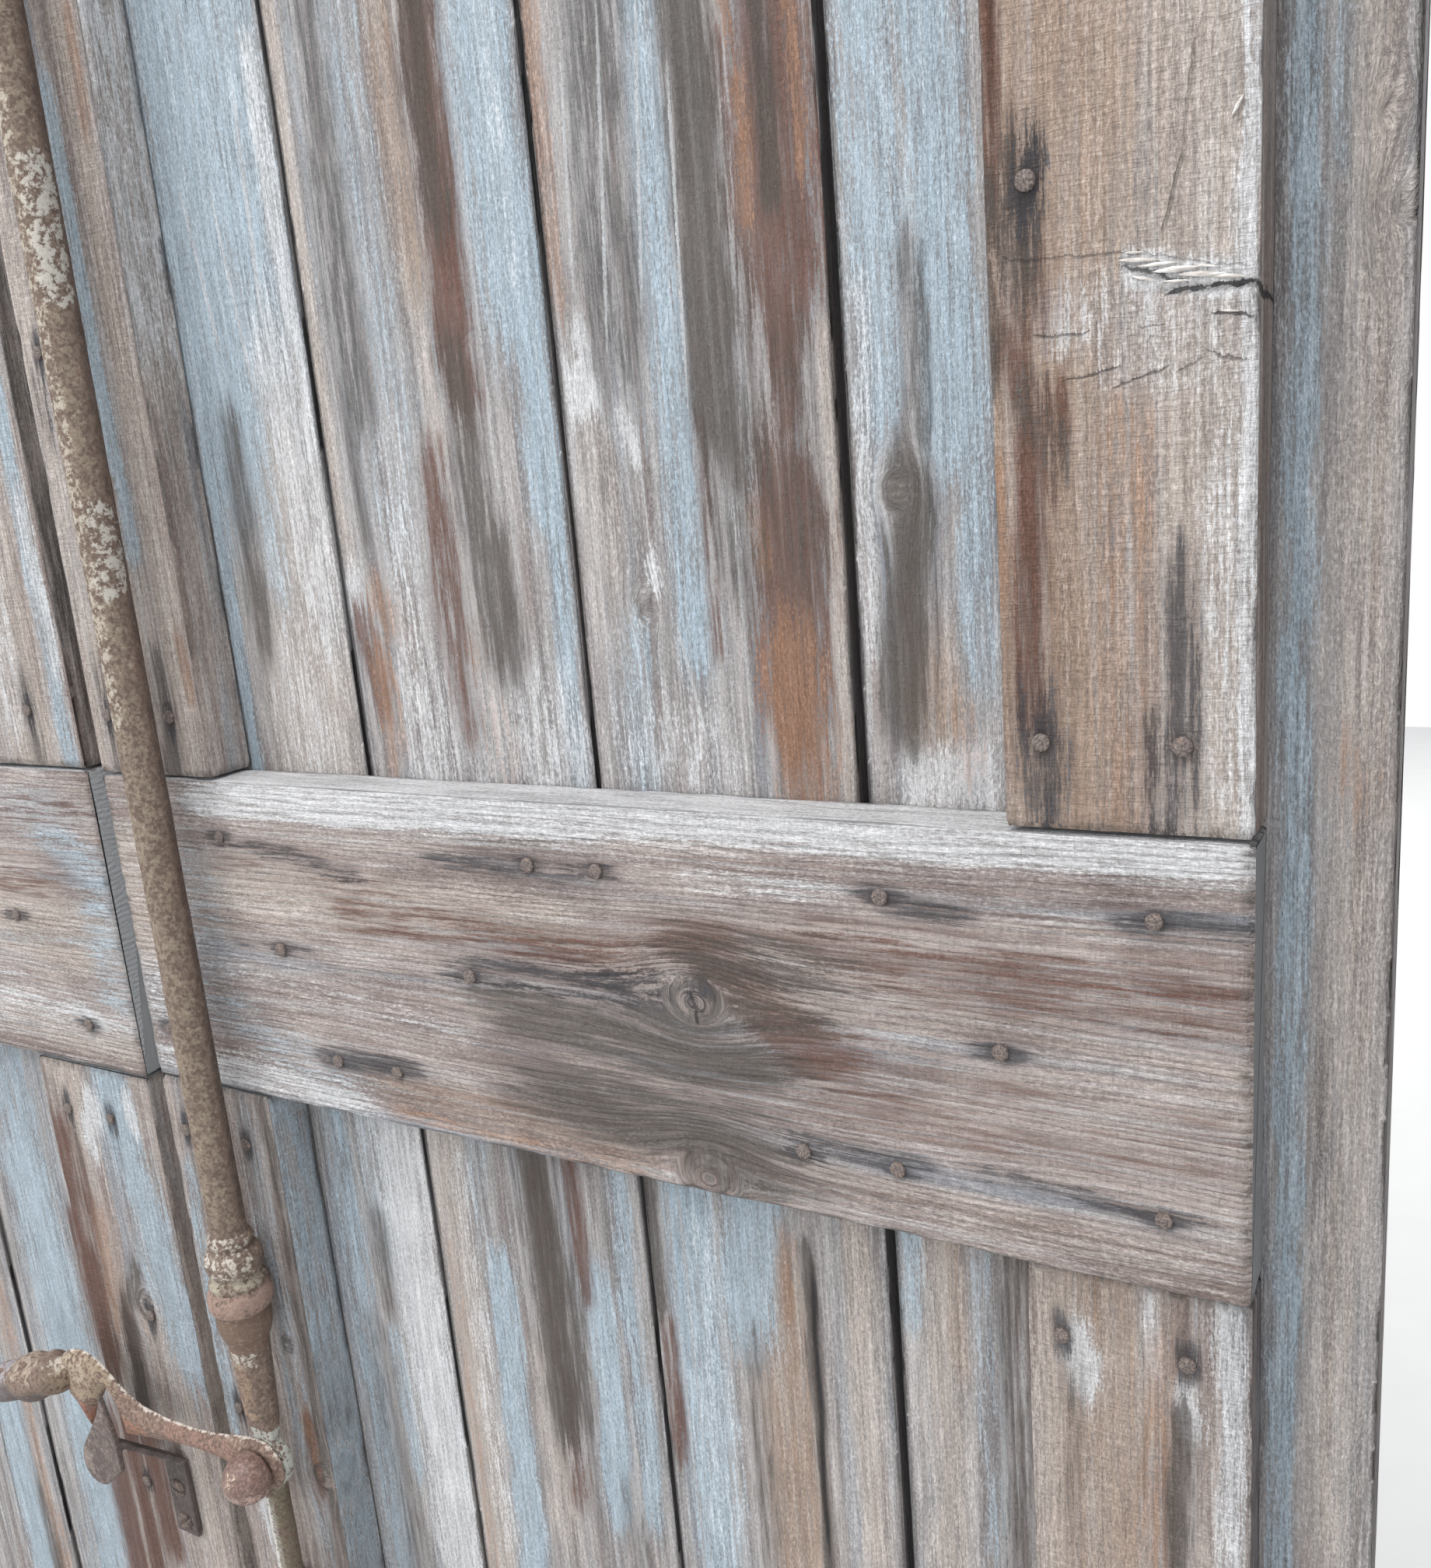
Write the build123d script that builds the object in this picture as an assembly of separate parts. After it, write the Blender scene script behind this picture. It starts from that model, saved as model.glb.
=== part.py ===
"""Pair of antique wooden shutter leaves in a timber frame, locked by a forged espagnolette bolt.

Millimetres. X runs to the right as seen from the room, Y runs outdoors, Z is up.
X = 0 is the middle of the gap where the leaves meet, Y = 0 is the plane between each leaf's two
layers of wood (boards outdoors of it, rails and stiles on the room side), and Z = 0 is the
underside of the sill. Everything is drawn with both leaves closed and the bolt locked.
"""

from build123d import *
from math import cos, radians, sin, sqrt
import os

os.makedirs("parts", exist_ok=True)

# Height of the closed pair
SILL_HEIGHT = 45.0              # under the leaves
HEAD_HEIGHT = 45.0              # above the leaves
LEAF_CLEARANCE = 4.0            # air above and below a leaf
FRAMING_HEIGHT = 1400.0         # bottom rail's foot to top rail's head
BOARD_OVERHANG = 15.0           # boards past the rails, top and bottom, against the stops
MIDDLE_RAIL_SHARE = 0.5         # middle of the middle rail, as a share of the framing height

# Two layers of a leaf
FRAMING_THICKNESS = 22.0
BOARD_THICKNESS = 21.0
EASED_EDGE = 1.2                # worn arris of rails, stiles and boards
JOINT_GAP = 0.8                 # open joint where a stile butts on a rail

# Right leaf, from its meeting edge to its hinge edge
RIGHT_MEETING_EDGE = 5.0        # framing
RIGHT_BOARD_EDGE = -1.5         # boards reach further than the framing
RIGHT_BOARD_WIDTHS = (140.5, 109.0, 103.0, 86.0, 66.0)  # they share the leaf in this proportion
RIGHT_MEETING_STILE = 69.0
RIGHT_HINGE_STILE = 68.5
RIGHT_LOWER_STILE_THICKNESS = 17.5
RAIL_SHORTFALL = 0.7            # rails end this much short of the hinge stile's edge
LEAF_LIP = 32.0                 # boards past the hinge stile
LIP_ARRIS = 4.0                 # rounded-off inner edge of that lip
RIGHT_RAIL_HEIGHT = 140.0
HINGE_EDGE = 503.0              # outer edge of the boards, from the middle of the pair

# Left leaf
LEFT_MEETING_EDGE = 5.0
LEFT_BOARD_EDGE = 4.5
LEFT_BOARD_WIDTHS = (97.5, 88.0, 104.0, 98.0, 111.0)
LEFT_MEETING_STILE = 80.0
LEFT_HINGE_STILE = 70.0
LEFT_RAIL_HEIGHT = 145.0
LEFT_RAIL_DROP = 1.5            # middle rail sits this much lower than the right one

# Tongues between boards
BOARD_GAP = 1.8
WIDE_BOARD_GAP = 2.8            # the open joint beside the third board
TONGUE_THICKNESS = 6.0
TONGUE_LENGTH = 6.0
TONGUE_PLAY = 0.3

# Nails
NAIL_RADIUS = 1.5
NAIL_HEAD_RADIUS = 2.9
NAIL_HEAD_HEIGHT = 1.0
NAIL_CLENCH = 9.0               # bent-over point on the outdoor face
NAIL_PLAY = 0.1
NAIL_ROW = 46.0                 # outer nail rows, above and below a rail's middle
STILE_NAIL_END = 25.0           # from a stile piece's end to its first pair
RIGHT_STILE_NAILS = (11.5, 19.0, 146.0)    # inset at each edge, and pitch along the stile
LEFT_STILE_NAILS = (32.0, 17.0, 106.0)

# Timber frame round the leaves
JAMB_GAP = 19.0                 # open air beside a leaf's outer edge
JAMB_WIDTH = 60.0
FRAME_ROOM_SIDE = 58.0          # frame towards the room from Y = 0
STOP_GAP = 0.5                  # stop to board face
STOP_CLEARANCE = 3.0            # stop to rail, above and below
TENON_THICKNESS = 26.0
TENON_PLAY = 0.2
TENON_SHOULDER = 6.0
PEG_RADIUS = 5.0
PEG_INSET = 18.0
PEG_PLAY = 0.1
FIXING_RADIUS = 5.5             # wall fixing holes through the jambs
FIXING_SPACING = 1050.0

# Strap hinges on plate pintles
PIN_RADIUS = 7.0
PIN_LENGTH = 52.0
PIN_PLAY = 0.08
EYE_WALL = 5.0
STRAP_THICKNESS = 5.0
STRAP_HEIGHT = 40.0
STRAP_LENGTH = 400.0
STRAP_TAPER = 0.62              # height at the tail, as a share of the height at the eye
HINGE_AXIS_OUT = 18.0           # from the leaf's outer edge
HINGE_AXIS_PROUD = 14.0         # from the boards' outdoor face
PINTLE_COLLAR_HEIGHT = 22.0
PINTLE_ARM = 8.0
PINTLE_PLATE = (40.0, 5.0, 84.0)
PINTLE_PLATE_GAP = 1.0          # plate to the turning eye
BOLT_RADIUS = 4.0
BOLT_HEAD_RADIUS = 9.0
BOLT_HEAD_HEIGHT = 4.5
BOLT_PLAY = 0.2
BOLTS_PER_STRAP = 3
BOLT_INSET = (44.0, 18.0)       # from the strap's tail, and from the rail's end
NUT_WIDTH = 14.0
NUT_HEIGHT = 6.0
SCREW_RADIUS = 2.5
SCREW_HEAD_RADIUS = 5.0
SCREW_HEAD_HEIGHT = 2.0
SCREW_LENGTH = 16.0
SCREW_PLAY = 0.1

# Espagnolette rod, from its axis
ROD_X = 53.0
ROD_STANDOFF = 15.0             # rod axis to the framing's face
ROD_RADIUS = 8.0
LOWER_ROD_RADIUS = 5.5
ROD_END_GAP = 9.0               # rod end to the frame's stop
COLLAR_TOP = -131.0             # from the middle rail's middle
RING_RADIUS = 14.2
BULB_RADIUS = 12.8
CUP_RADIUS = 12.2
SHANK_TOP_RADIUS = 9.0
SHANK_FOOT_RADIUS = 7.2
PIVOT_DROP = 246.0              # pivot below the middle rail's middle
TANG_THICKNESS = 7.0
TANG_WIDTH = 25.0
TANG_ABOVE = 20.0               # flat of the tang above the pivot
TANG_BELOW = 14.0
STOP_RING_RADIUS = 9.5
STOP_RING_HEIGHT = 6.0

# End tongues of the rod and their keeps on the frame
TONGUE_REACH = 45.0
END_TONGUE_HEIGHT = 14.0
END_TONGUE_THICKNESS = 7.0
KEEP_PLAY = 0.3
KEEP_THICKNESS = 4.0
KEEP_WIDTH = 30.0
KEEP_LIP = 24.0
KEEP_FLANGE = 26.0
KEEP_ROD_GAP = 10.0             # keep to the side of the rod

# Guides that hold the rod
GUIDE_PLATE = (34.0, 3.0, 56.0)
GUIDE_WALL = 3.2
GUIDE_HEIGHT = 20.0
GUIDE_WEB = 9.0
GUIDE_SCREW_INSET = 6.0
ROD_PLAY = 0.08
GUIDE_BELOW = 350.0             # guide under the pivot, from the middle rail's middle
GUIDE_ABOVE = 430.0

# Pivot pin and lever
PIVOT_RADIUS = 3.5
PIVOT_PLAY = 0.08
BALL_RADIUS = 12.5
BALL_FLAT = 8.0                 # sliced off the ball's back
RIVET_RADIUS = 6.0
RIVET_HEIGHT = 2.5
LEVER_THICKNESS = 5.0
LEVER_PLAY = 0.2
EYE_RADIUS = 13.0
LEVER_EDGE = 1.4                # rounding of the forged front edges
KNOB_RADIUS = 10.5
KNOB_LENGTH = 72.0              # from inside the lever's head
KNOB_DROOP = 22.0               # degrees below level
KNOB_RING_RADIUS = 11.5         # ring next to the head
KNOB_GROOVE_RADIUS = 9.8        # between ring and bead
BEAD_RADIUS = 12.5
KNOB_WAIST_RADIUS = 8.8         # between bead and end
KNOB_ROOT_RADIUS = 2.0          # inside the head, and of the small flat at the far end

# Keep of the lever, on the left leaf
LEVER_KEEP_SHEET = 3.0
LEVER_KEEP_PLAY = 0.5           # lever to the upturned leaf in front of it
LEVER_REST_GAP = 0.3            # lever to the sloping shelf under it
LEVER_KEEP_BASE_WIDTH = 16.0
LEVER_KEEP_BASE_HEIGHT = 45.0
LEVER_KEEP_SCREWS = (0.38, 0.82)    # down the base, as shares of its height

# Places worked out from the sizes
LEAF_FOOT = SILL_HEIGHT + LEAF_CLEARANCE
FRAMING_FOOT = LEAF_FOOT + BOARD_OVERHANG
FRAMING_TOP = FRAMING_FOOT + FRAMING_HEIGHT
LEAF_TOP = FRAMING_TOP + BOARD_OVERHANG
FRAME_TOP = LEAF_TOP + LEAF_CLEARANCE + HEAD_HEIGHT
MIDDLE = FRAMING_FOOT + MIDDLE_RAIL_SHARE * FRAMING_HEIGHT
FRONT = -FRAMING_THICKNESS
OUTSIDE = BOARD_THICKNESS
JAMB_FACE = HINGE_EDGE + JAMB_GAP
FRAME_EDGE = JAMB_FACE + JAMB_WIDTH
SILL_STOP = FRAMING_FOOT - STOP_CLEARANCE
HEAD_STOP = FRAMING_TOP + STOP_CLEARANCE
HINGE_X = HINGE_EDGE + HINGE_AXIS_OUT
HINGE_Y = OUTSIDE + HINGE_AXIS_PROUD
EYE_OUTER = PIN_RADIUS + PIN_PLAY + EYE_WALL
ROD_Y = FRONT - ROD_STANDOFF
PIVOT_Z = MIDDLE - PIVOT_DROP
BOTTOM_RAIL_MIDDLE = FRAMING_FOOT + RIGHT_RAIL_HEIGHT / 2
TOP_RAIL_MIDDLE = FRAMING_TOP - RIGHT_RAIL_HEIGHT / 2
LEVER_BACK = ROD_Y - TANG_THICKNESS / 2 - LEVER_PLAY
LEVER_FRONT = LEVER_BACK - LEVER_THICKNESS


def save(name, shape):
    """Write one node, as one solid or as a group of like solids."""
    solids = shape.solids()
    export_step(solids[0] if len(solids) == 1 else Compound(children=solids), f"parts/{name}.step")


def block(x0, x1, y0, y1, z0, z1):
    return Pos((x0 + x1) / 2, (y0 + y1) / 2, (z0 + z1) / 2) * Box(abs(x1 - x0), abs(y1 - y0), abs(z1 - z0))


def rod_along_y(x, z, radius, y0, y1):
    return Pos(x, (y0 + y1) / 2, z) * Rot(90, 0, 0) * Cylinder(radius, abs(y1 - y0))


def rod_along_z(x, y, radius, z0, z1):
    return Pos(x, y, (z0 + z1) / 2) * Cylinder(radius, abs(z1 - z0))


def prism_z(points, z0, z1):
    """Straight piece with a section in the XY plane."""
    return extrude(Plane.XY.offset(z0) * make_face(Polyline(*points, close=True)), z1 - z0)


def plate_y(outline, y0, y1):
    """Plate between two Y planes, whose outline is drawn as X and Z."""
    return extrude(Plane.XZ.offset(-y0) * make_face(outline), y1 - y0, dir=(0, 1, 0))


def mirrored(shape):
    return mirror(shape, about=Plane.YZ)


def eased_member(x0, x1, front, z0, z1):
    """Rail or stile piece with worn room-side edges."""
    member = block(x0, x1, front, 0, z0, z1)
    return chamfer(member.faces().sort_by(Axis.Y)[0].edges(), EASED_EDGE)


def board_section(x0, x1, lap_in, lap_out, arris):
    """Section of one board, with a groove at x0 and a tongue at x1 where it has neighbours."""
    tongue_0 = (BOARD_THICKNESS - TONGUE_THICKNESS) / 2
    tongue_1 = tongue_0 + TONGUE_THICKNESS
    points = [(x0 + EASED_EDGE, 0), (x1 - arris, 0), (x1, arris)]
    if lap_out:
        points += [(x1, tongue_0), (x1 + lap_out, tongue_0), (x1 + lap_out, tongue_1), (x1, tongue_1)]
    points += [(x1, OUTSIDE - EASED_EDGE), (x1 - EASED_EDGE, OUTSIDE), (x0 + EASED_EDGE, OUTSIDE)]
    points += [(x0, OUTSIDE - EASED_EDGE)]
    if lap_in:
        groove = TONGUE_LENGTH + TONGUE_PLAY
        points += [(x0, tongue_1 + TONGUE_PLAY), (x0 + groove, tongue_1 + TONGUE_PLAY)]
        points += [(x0 + groove, tongue_0 - TONGUE_PLAY), (x0, tongue_0 - TONGUE_PLAY)]
    points += [(x0, EASED_EDGE)]
    return points


def board_spans(first_edge, widths, wide_joint):
    """Left and right edge of each board from the meeting edge outwards, and the joint after it."""
    spans = []
    left = first_edge
    scale = (HINGE_EDGE - first_edge) / sum(widths)
    for number, width in enumerate(widths[:-1]):
        gap = WIDE_BOARD_GAP if number == wide_joint else BOARD_GAP
        spans.append((left, left + width * scale - gap, gap))
        left += width * scale
    spans.append((left, HINGE_EDGE, 0))
    return spans


def make_boards(spans):
    boards = []
    gap_before = 0
    for x0, x1, gap in spans:
        lap = TONGUE_LENGTH + gap if gap else 0
        arris = EASED_EDGE if gap else LIP_ARRIS
        boards.append(prism_z(board_section(x0, x1, gap_before, lap, arris), LEAF_FOOT, LEAF_TOP))
        gap_before = gap
    return boards


def rail_nails(spans, middle, edge_x, end_x, pattern):
    """Nail places on a rail: for each board, a share of its width and the row above or below."""
    places = []
    for (x0, x1, _), marks in zip(spans, pattern):
        low = max(x0, edge_x)
        high = min(x1, end_x)
        for share, row in marks:
            places.append((low + share * (high - low), middle + row * NAIL_ROW))
    return places


def stile_nails(x0, x1, near, far, face, layout):
    """A pair near each end of a stile piece, then single nails, left and right by turns.

    The singles are spaced from the end at the middle rail."""
    low = x0 + layout[0]
    high = x1 - layout[1]
    pitch = layout[2]
    away = 1 if far > near else -1
    first = near + away * STILE_NAIL_END
    last = far - away * STILE_NAIL_END
    places = [(x, z, face) for x in (low, high) for z in (first, last)]
    for number in range(1, int(abs(last - first) / pitch + 0.5)):
        places.append((low if number % 2 else high, first + away * number * pitch, face))
    return places


def nail(x, z, face):
    """Round-headed nail, driven from the room side and bent over along the grain outdoors."""
    shank = rod_along_y(x, z, NAIL_RADIUS, face, OUTSIDE + NAIL_RADIUS)
    head = rod_along_y(x, z, NAIL_HEAD_RADIUS, face - NAIL_HEAD_HEIGHT, face)
    point = block(x - NAIL_RADIUS, x + NAIL_RADIUS, OUTSIDE, OUTSIDE + NAIL_RADIUS, z - NAIL_CLENCH, z)
    return shank + head + point


def screw(x, y, z, direction):
    """Round-headed wood screw whose head sits at the point and whose shank runs along direction."""
    turned = Plane(origin=(x, y, z), z_dir=direction)
    head = turned * Pos(0, 0, -SCREW_HEAD_HEIGHT / 2) * Cylinder(SCREW_HEAD_RADIUS, SCREW_HEAD_HEIGHT)
    shank = turned * Pos(0, 0, SCREW_LENGTH / 2) * Cylinder(SCREW_RADIUS, SCREW_LENGTH)
    return head + shank


def screw_hole(x, y, z, direction):
    turned = Plane(origin=(x, y, z), z_dir=direction)
    return turned * Pos(0, 0, SCREW_LENGTH / 2) * Cylinder(
        SCREW_RADIUS + SCREW_PLAY, SCREW_LENGTH + 2 * SCREW_PLAY)


# Rows of nails on the middle rail, board by board: share of the board's width, row
RIGHT_MIDDLE_NAILS = (
    ((0.10, -1), (0.51, 1), (0.70, 0), (0.87, -1)),
    ((0.12, -1), (0.53, 0), (0.84, 1)),
    ((0.10, 1), (0.82, -1)),
    ((0.14, 1), (0.15, -1), (0.57, 0)),
    ((0.22, 1), (0.28, -1)),
)
LEFT_MIDDLE_NAILS = (
    ((0.35, -1.1), (0.75, 0)),
    ((0.20, 1), (0.80, -1)),
    ((0.15, -1), (0.50, 0), (0.84, 1)),
    ((0.16, 1), (0.82, -1)),
    ((0.30, -1), (0.60, 1)),
)
PLAIN_RAIL_NAILS = (((0.15, 1), (0.80, -1)),) * 5


def make_leaf(first_edge, widths, wide_joint, edge_x, meeting_stile, hinge_stile, rail_height,
              rail_drop, lower_hinge_front, middle_nails, stile_layout, openings):
    """All wood and nails of one leaf, drawn on the right. Openings are cut through both layers."""
    spans = board_spans(first_edge, widths, wide_joint)
    hinge_stile_edge = HINGE_EDGE - LEAF_LIP
    rail_end = hinge_stile_edge - RAIL_SHORTFALL
    middle = MIDDLE - rail_drop
    rails = {
        "bottom_rail": (FRAMING_FOOT, FRAMING_FOOT + rail_height),
        "middle_rail": (middle - rail_height / 2, middle + rail_height / 2),
        "top_rail": (FRAMING_TOP - rail_height, FRAMING_TOP),
    }
    lower = (rails["bottom_rail"][1] + JOINT_GAP, rails["middle_rail"][0] - JOINT_GAP)
    upper = (rails["middle_rail"][1] + JOINT_GAP, rails["top_rail"][0] - JOINT_GAP)
    inner_x = (edge_x, edge_x + meeting_stile)
    outer_x = (hinge_stile_edge - hinge_stile, hinge_stile_edge)
    stiles = {
        "lower_meeting_stile": (inner_x, lower, FRONT),
        "upper_meeting_stile": (inner_x, upper, FRONT),
        "lower_hinge_stile": (outer_x, lower, lower_hinge_front),
        "upper_hinge_stile": (outer_x, upper, FRONT),
    }
    pieces = {}
    places = []
    for name, (z0, z1) in rails.items():
        pieces[name] = eased_member(edge_x, rail_end, FRONT, z0, z1)
        pattern = middle_nails if name == "middle_rail" else PLAIN_RAIL_NAILS
        places += [(x, z, FRONT) for x, z in rail_nails(spans, (z0 + z1) / 2, edge_x, rail_end, pattern)]
    for name, ((x0, x1), (z0, z1), front) in stiles.items():
        pieces[name] = eased_member(x0, x1, front, z0, z1)
        near, far = (z1, z0) if name.startswith("lower") else (z0, z1)
        places += stile_nails(x0, x1, near, far, front, stile_layout)
    for number, board in enumerate(make_boards(spans), 1):
        pieces[f"board_{number}"] = board
    bore = NAIL_RADIUS + NAIL_PLAY
    nail_holes = [(x, z, rod_along_y(x, z, bore, FRONT - 1, OUTSIDE + 1)) for x, z, _ in places]
    for name, piece in pieces.items():
        box = piece.bounding_box()
        cuts = [hole for x, z, hole in nail_holes
                if box.min.X - NAIL_HEAD_RADIUS < x < box.max.X + NAIL_HEAD_RADIUS
                and box.min.Z < z < box.max.Z]
        cuts += [hole for hole in openings if hole.bounding_box().min.X < box.max.X
                 and hole.bounding_box().max.X > box.min.X]
        pieces[name] = piece - cuts if cuts else piece
    pieces["nails"] = Compound(children=[nail(x, z, face) for x, z, face in places])
    return pieces


# Strap hinges: bolts, eye and tapered strap, drawn on the right for both ends of the leaf
STRAP_MIDDLES = {"bottom": BOTTOM_RAIL_MIDDLE, "top": TOP_RAIL_MIDDLE}
STRAP_TAIL = HINGE_X - STRAP_LENGTH
FIRST_BOLT = STRAP_TAIL + BOLT_INSET[0]
LAST_BOLT = HINGE_EDGE - LEAF_LIP - RAIL_SHORTFALL - BOLT_INSET[1]
BOLT_XS = [FIRST_BOLT + number * (LAST_BOLT - FIRST_BOLT) / (BOLTS_PER_STRAP - 1)
           for number in range(BOLTS_PER_STRAP)]
BOLT_PLACES = [(x, middle) for middle in STRAP_MIDDLES.values() for x in BOLT_XS]


def make_strap(middle):
    half = STRAP_HEIGHT / 2
    tail = half * STRAP_TAPER
    outline = Polyline((HINGE_X, middle - half), (HINGE_X, middle + half), (STRAP_TAIL + tail, middle + tail),
                       (STRAP_TAIL, middle), (STRAP_TAIL + tail, middle - tail), close=True)
    flat = plate_y(outline, OUTSIDE, OUTSIDE + STRAP_THICKNESS)
    eye = rod_along_z(HINGE_X, HINGE_Y, EYE_OUTER, middle - half, middle + half)
    # The eye's leading end is curled back onto the flat of the strap
    curl = block(HINGE_X - EYE_OUTER, HINGE_X, OUTSIDE + STRAP_THICKNESS - EASED_EDGE, HINGE_Y,
                 middle - half, middle + half)
    bore = rod_along_z(HINGE_X, HINGE_Y, PIN_RADIUS + PIN_PLAY, middle - STRAP_HEIGHT, middle + STRAP_HEIGHT)
    holes = [rod_along_y(x, middle, BOLT_RADIUS + BOLT_PLAY, OUTSIDE - 1, OUTSIDE + STRAP_THICKNESS + 1)
             for x in BOLT_XS]
    return flat + eye + curl - [bore] - holes


def make_bolt(x, z):
    """Domed bolt head outdoors, shank through strap, board and rail."""
    seat = OUTSIDE + STRAP_THICKNESS
    dome_radius = (BOLT_HEAD_RADIUS ** 2 + BOLT_HEAD_HEIGHT ** 2) / (2 * BOLT_HEAD_HEIGHT)
    ball = Pos(x, seat + BOLT_HEAD_HEIGHT - dome_radius, z) * Sphere(dome_radius)
    dome = ball & rod_along_y(x, z, BOLT_HEAD_RADIUS * 2, seat, seat + BOLT_HEAD_HEIGHT)
    return dome + rod_along_y(x, z, BOLT_RADIUS, FRONT - NUT_HEIGHT - 2, seat)


def make_nut(x, z):
    half = NUT_WIDTH / 2
    nut = block(x - half, x + half, FRONT - NUT_HEIGHT, FRONT, z - half, z + half)
    return nut - rod_along_y(x, z, BOLT_RADIUS + SCREW_PLAY, FRONT - NUT_HEIGHT - 1, FRONT + 1)


def plate_screw_places(middle):
    """Three screws of a pintle's plate."""
    plate_x = HINGE_X + EYE_OUTER + PINTLE_PLATE_GAP + PINTLE_PLATE[0] / 2
    seat = middle - STRAP_HEIGHT / 2
    reach = PINTLE_PLATE[2] / 2 - 3 * SCREW_RADIUS
    return [(plate_x, seat + rise) for rise in (-reach, reach)] + [(plate_x + PINTLE_PLATE[0] / 4, seat)]


def make_pintle(middle):
    """Plate screwed to the jamb, with an arm, a collar that carries the eye, and the upright pin."""
    seat = middle - STRAP_HEIGHT / 2
    plate_x0 = HINGE_X + EYE_OUTER + PINTLE_PLATE_GAP
    plate = block(plate_x0, plate_x0 + PINTLE_PLATE[0], OUTSIDE, OUTSIDE + PINTLE_PLATE[1],
                  seat - PINTLE_PLATE[2] / 2, seat + PINTLE_PLATE[2] / 2)
    arm = block(HINGE_X, plate_x0 + PINTLE_ARM, OUTSIDE, HINGE_Y, seat - PINTLE_COLLAR_HEIGHT, seat)
    collar = rod_along_z(HINGE_X, HINGE_Y, EYE_OUTER, seat - PINTLE_COLLAR_HEIGHT, seat)
    pin = rod_along_z(HINGE_X, HINGE_Y, PIN_RADIUS, seat, seat + PIN_LENGTH)
    pin = chamfer(pin.faces().sort_by(Axis.Z)[-1].edges(), EASED_EDGE)
    holes = [screw_hole(x, OUTSIDE + PINTLE_PLATE[1], z, (0, -1, 0)) for x, z in plate_screw_places(middle)]
    return plate + arm + collar + pin - holes


def make_frame():
    """Sill and head with room-side stops, tenoned and pegged into two jambs."""
    room = -FRAME_ROOM_SIDE
    tenon_0 = (room + OUTSIDE - TENON_THICKNESS) / 2
    tenon_1 = tenon_0 + TENON_THICKNESS
    end = FRAME_EDGE - JAMB_FACE
    sill = block(-JAMB_FACE, JAMB_FACE, room, OUTSIDE, 0, SILL_HEIGHT)
    sill += block(-JAMB_FACE, JAMB_FACE, room, -STOP_GAP, 0, SILL_STOP)
    head = block(-JAMB_FACE, JAMB_FACE, room, OUTSIDE, FRAME_TOP - HEAD_HEIGHT, FRAME_TOP)
    head += block(-JAMB_FACE, JAMB_FACE, room, -STOP_GAP, HEAD_STOP, FRAME_TOP)
    tenon_z = {"sill": (TENON_SHOULDER, SILL_HEIGHT - TENON_SHOULDER),
               "head": (FRAME_TOP - HEAD_HEIGHT + TENON_SHOULDER, FRAME_TOP - TENON_SHOULDER)}
    peg_x = (JAMB_FACE + PEG_INSET, FRAME_EDGE - PEG_INSET)
    pegs = []
    holes = []
    for z0, z1 in tenon_z.values():
        for side in (-1, 1):
            for x in peg_x:
                z = (z0 + z1) / 2
                pegs.append(rod_along_y(side * x, z, PEG_RADIUS, room, OUTSIDE))
                holes.append(rod_along_y(side * x, z, PEG_RADIUS + PEG_PLAY, room - 1, OUTSIDE + 1))
    sill += block(-JAMB_FACE - end, JAMB_FACE + end, tenon_0, tenon_1, *tenon_z["sill"])
    head += block(-JAMB_FACE - end, JAMB_FACE + end, tenon_0, tenon_1, *tenon_z["head"])
    jamb = block(JAMB_FACE, FRAME_EDGE, room, OUTSIDE, 0, FRAME_TOP)
    for z0, z1 in tenon_z.values():
        jamb -= block(JAMB_FACE - 1, FRAME_EDGE + 1, tenon_0 - TENON_PLAY, tenon_1 + TENON_PLAY,
                      z0 - TENON_PLAY, z1 + TENON_PLAY)
    for side in (-1, 1):
        z = FRAME_TOP / 2 + side * FIXING_SPACING / 2
        jamb -= Pos((JAMB_FACE + FRAME_EDGE) / 2, (room + OUTSIDE) / 2, z) * Rot(0, 90, 0) * \
            Cylinder(FIXING_RADIUS, JAMB_WIDTH + 2)
    plate_holes = [screw_hole(x, OUTSIDE + PINTLE_PLATE[1], z, (0, -1, 0))
                   for middle in STRAP_MIDDLES.values() for x, z in plate_screw_places(middle)]
    right = jamb - holes - plate_holes
    left = mirrored(jamb - plate_holes) - holes
    return sill - holes, head - holes, left, right, Compound(children=pegs)


def end_keep(stop_z, up):
    """Angle plate on a frame stop, whose lip stands between the leaf and the rod's end tongue."""
    lip_front = ROD_Y + END_TONGUE_THICKNESS / 2 + KEEP_PLAY
    x1 = ROD_X - ROD_RADIUS - KEEP_ROD_GAP
    x0 = x1 - KEEP_WIDTH
    flange = block(x0, x1, lip_front + KEEP_THICKNESS - KEEP_FLANGE, lip_front + KEEP_THICKNESS,
                   stop_z, stop_z + up * KEEP_THICKNESS)
    lip = block(x0, x1, lip_front, lip_front + KEEP_THICKNESS, stop_z, stop_z + up * KEEP_LIP)
    screw_y = lip_front - (KEEP_FLANGE - KEEP_THICKNESS) / 2
    places = [(x0 + KEEP_WIDTH * share, screw_y) for share in (0.25, 0.75)]
    seat = stop_z + up * KEEP_THICKNESS
    holes = [screw_hole(x, y, seat, (0, 0, -up)) for x, y in places]
    screws = [screw(x, y, seat, (0, 0, -up)) for x, y in places]
    return flange + lip - holes, screws, holes


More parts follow.
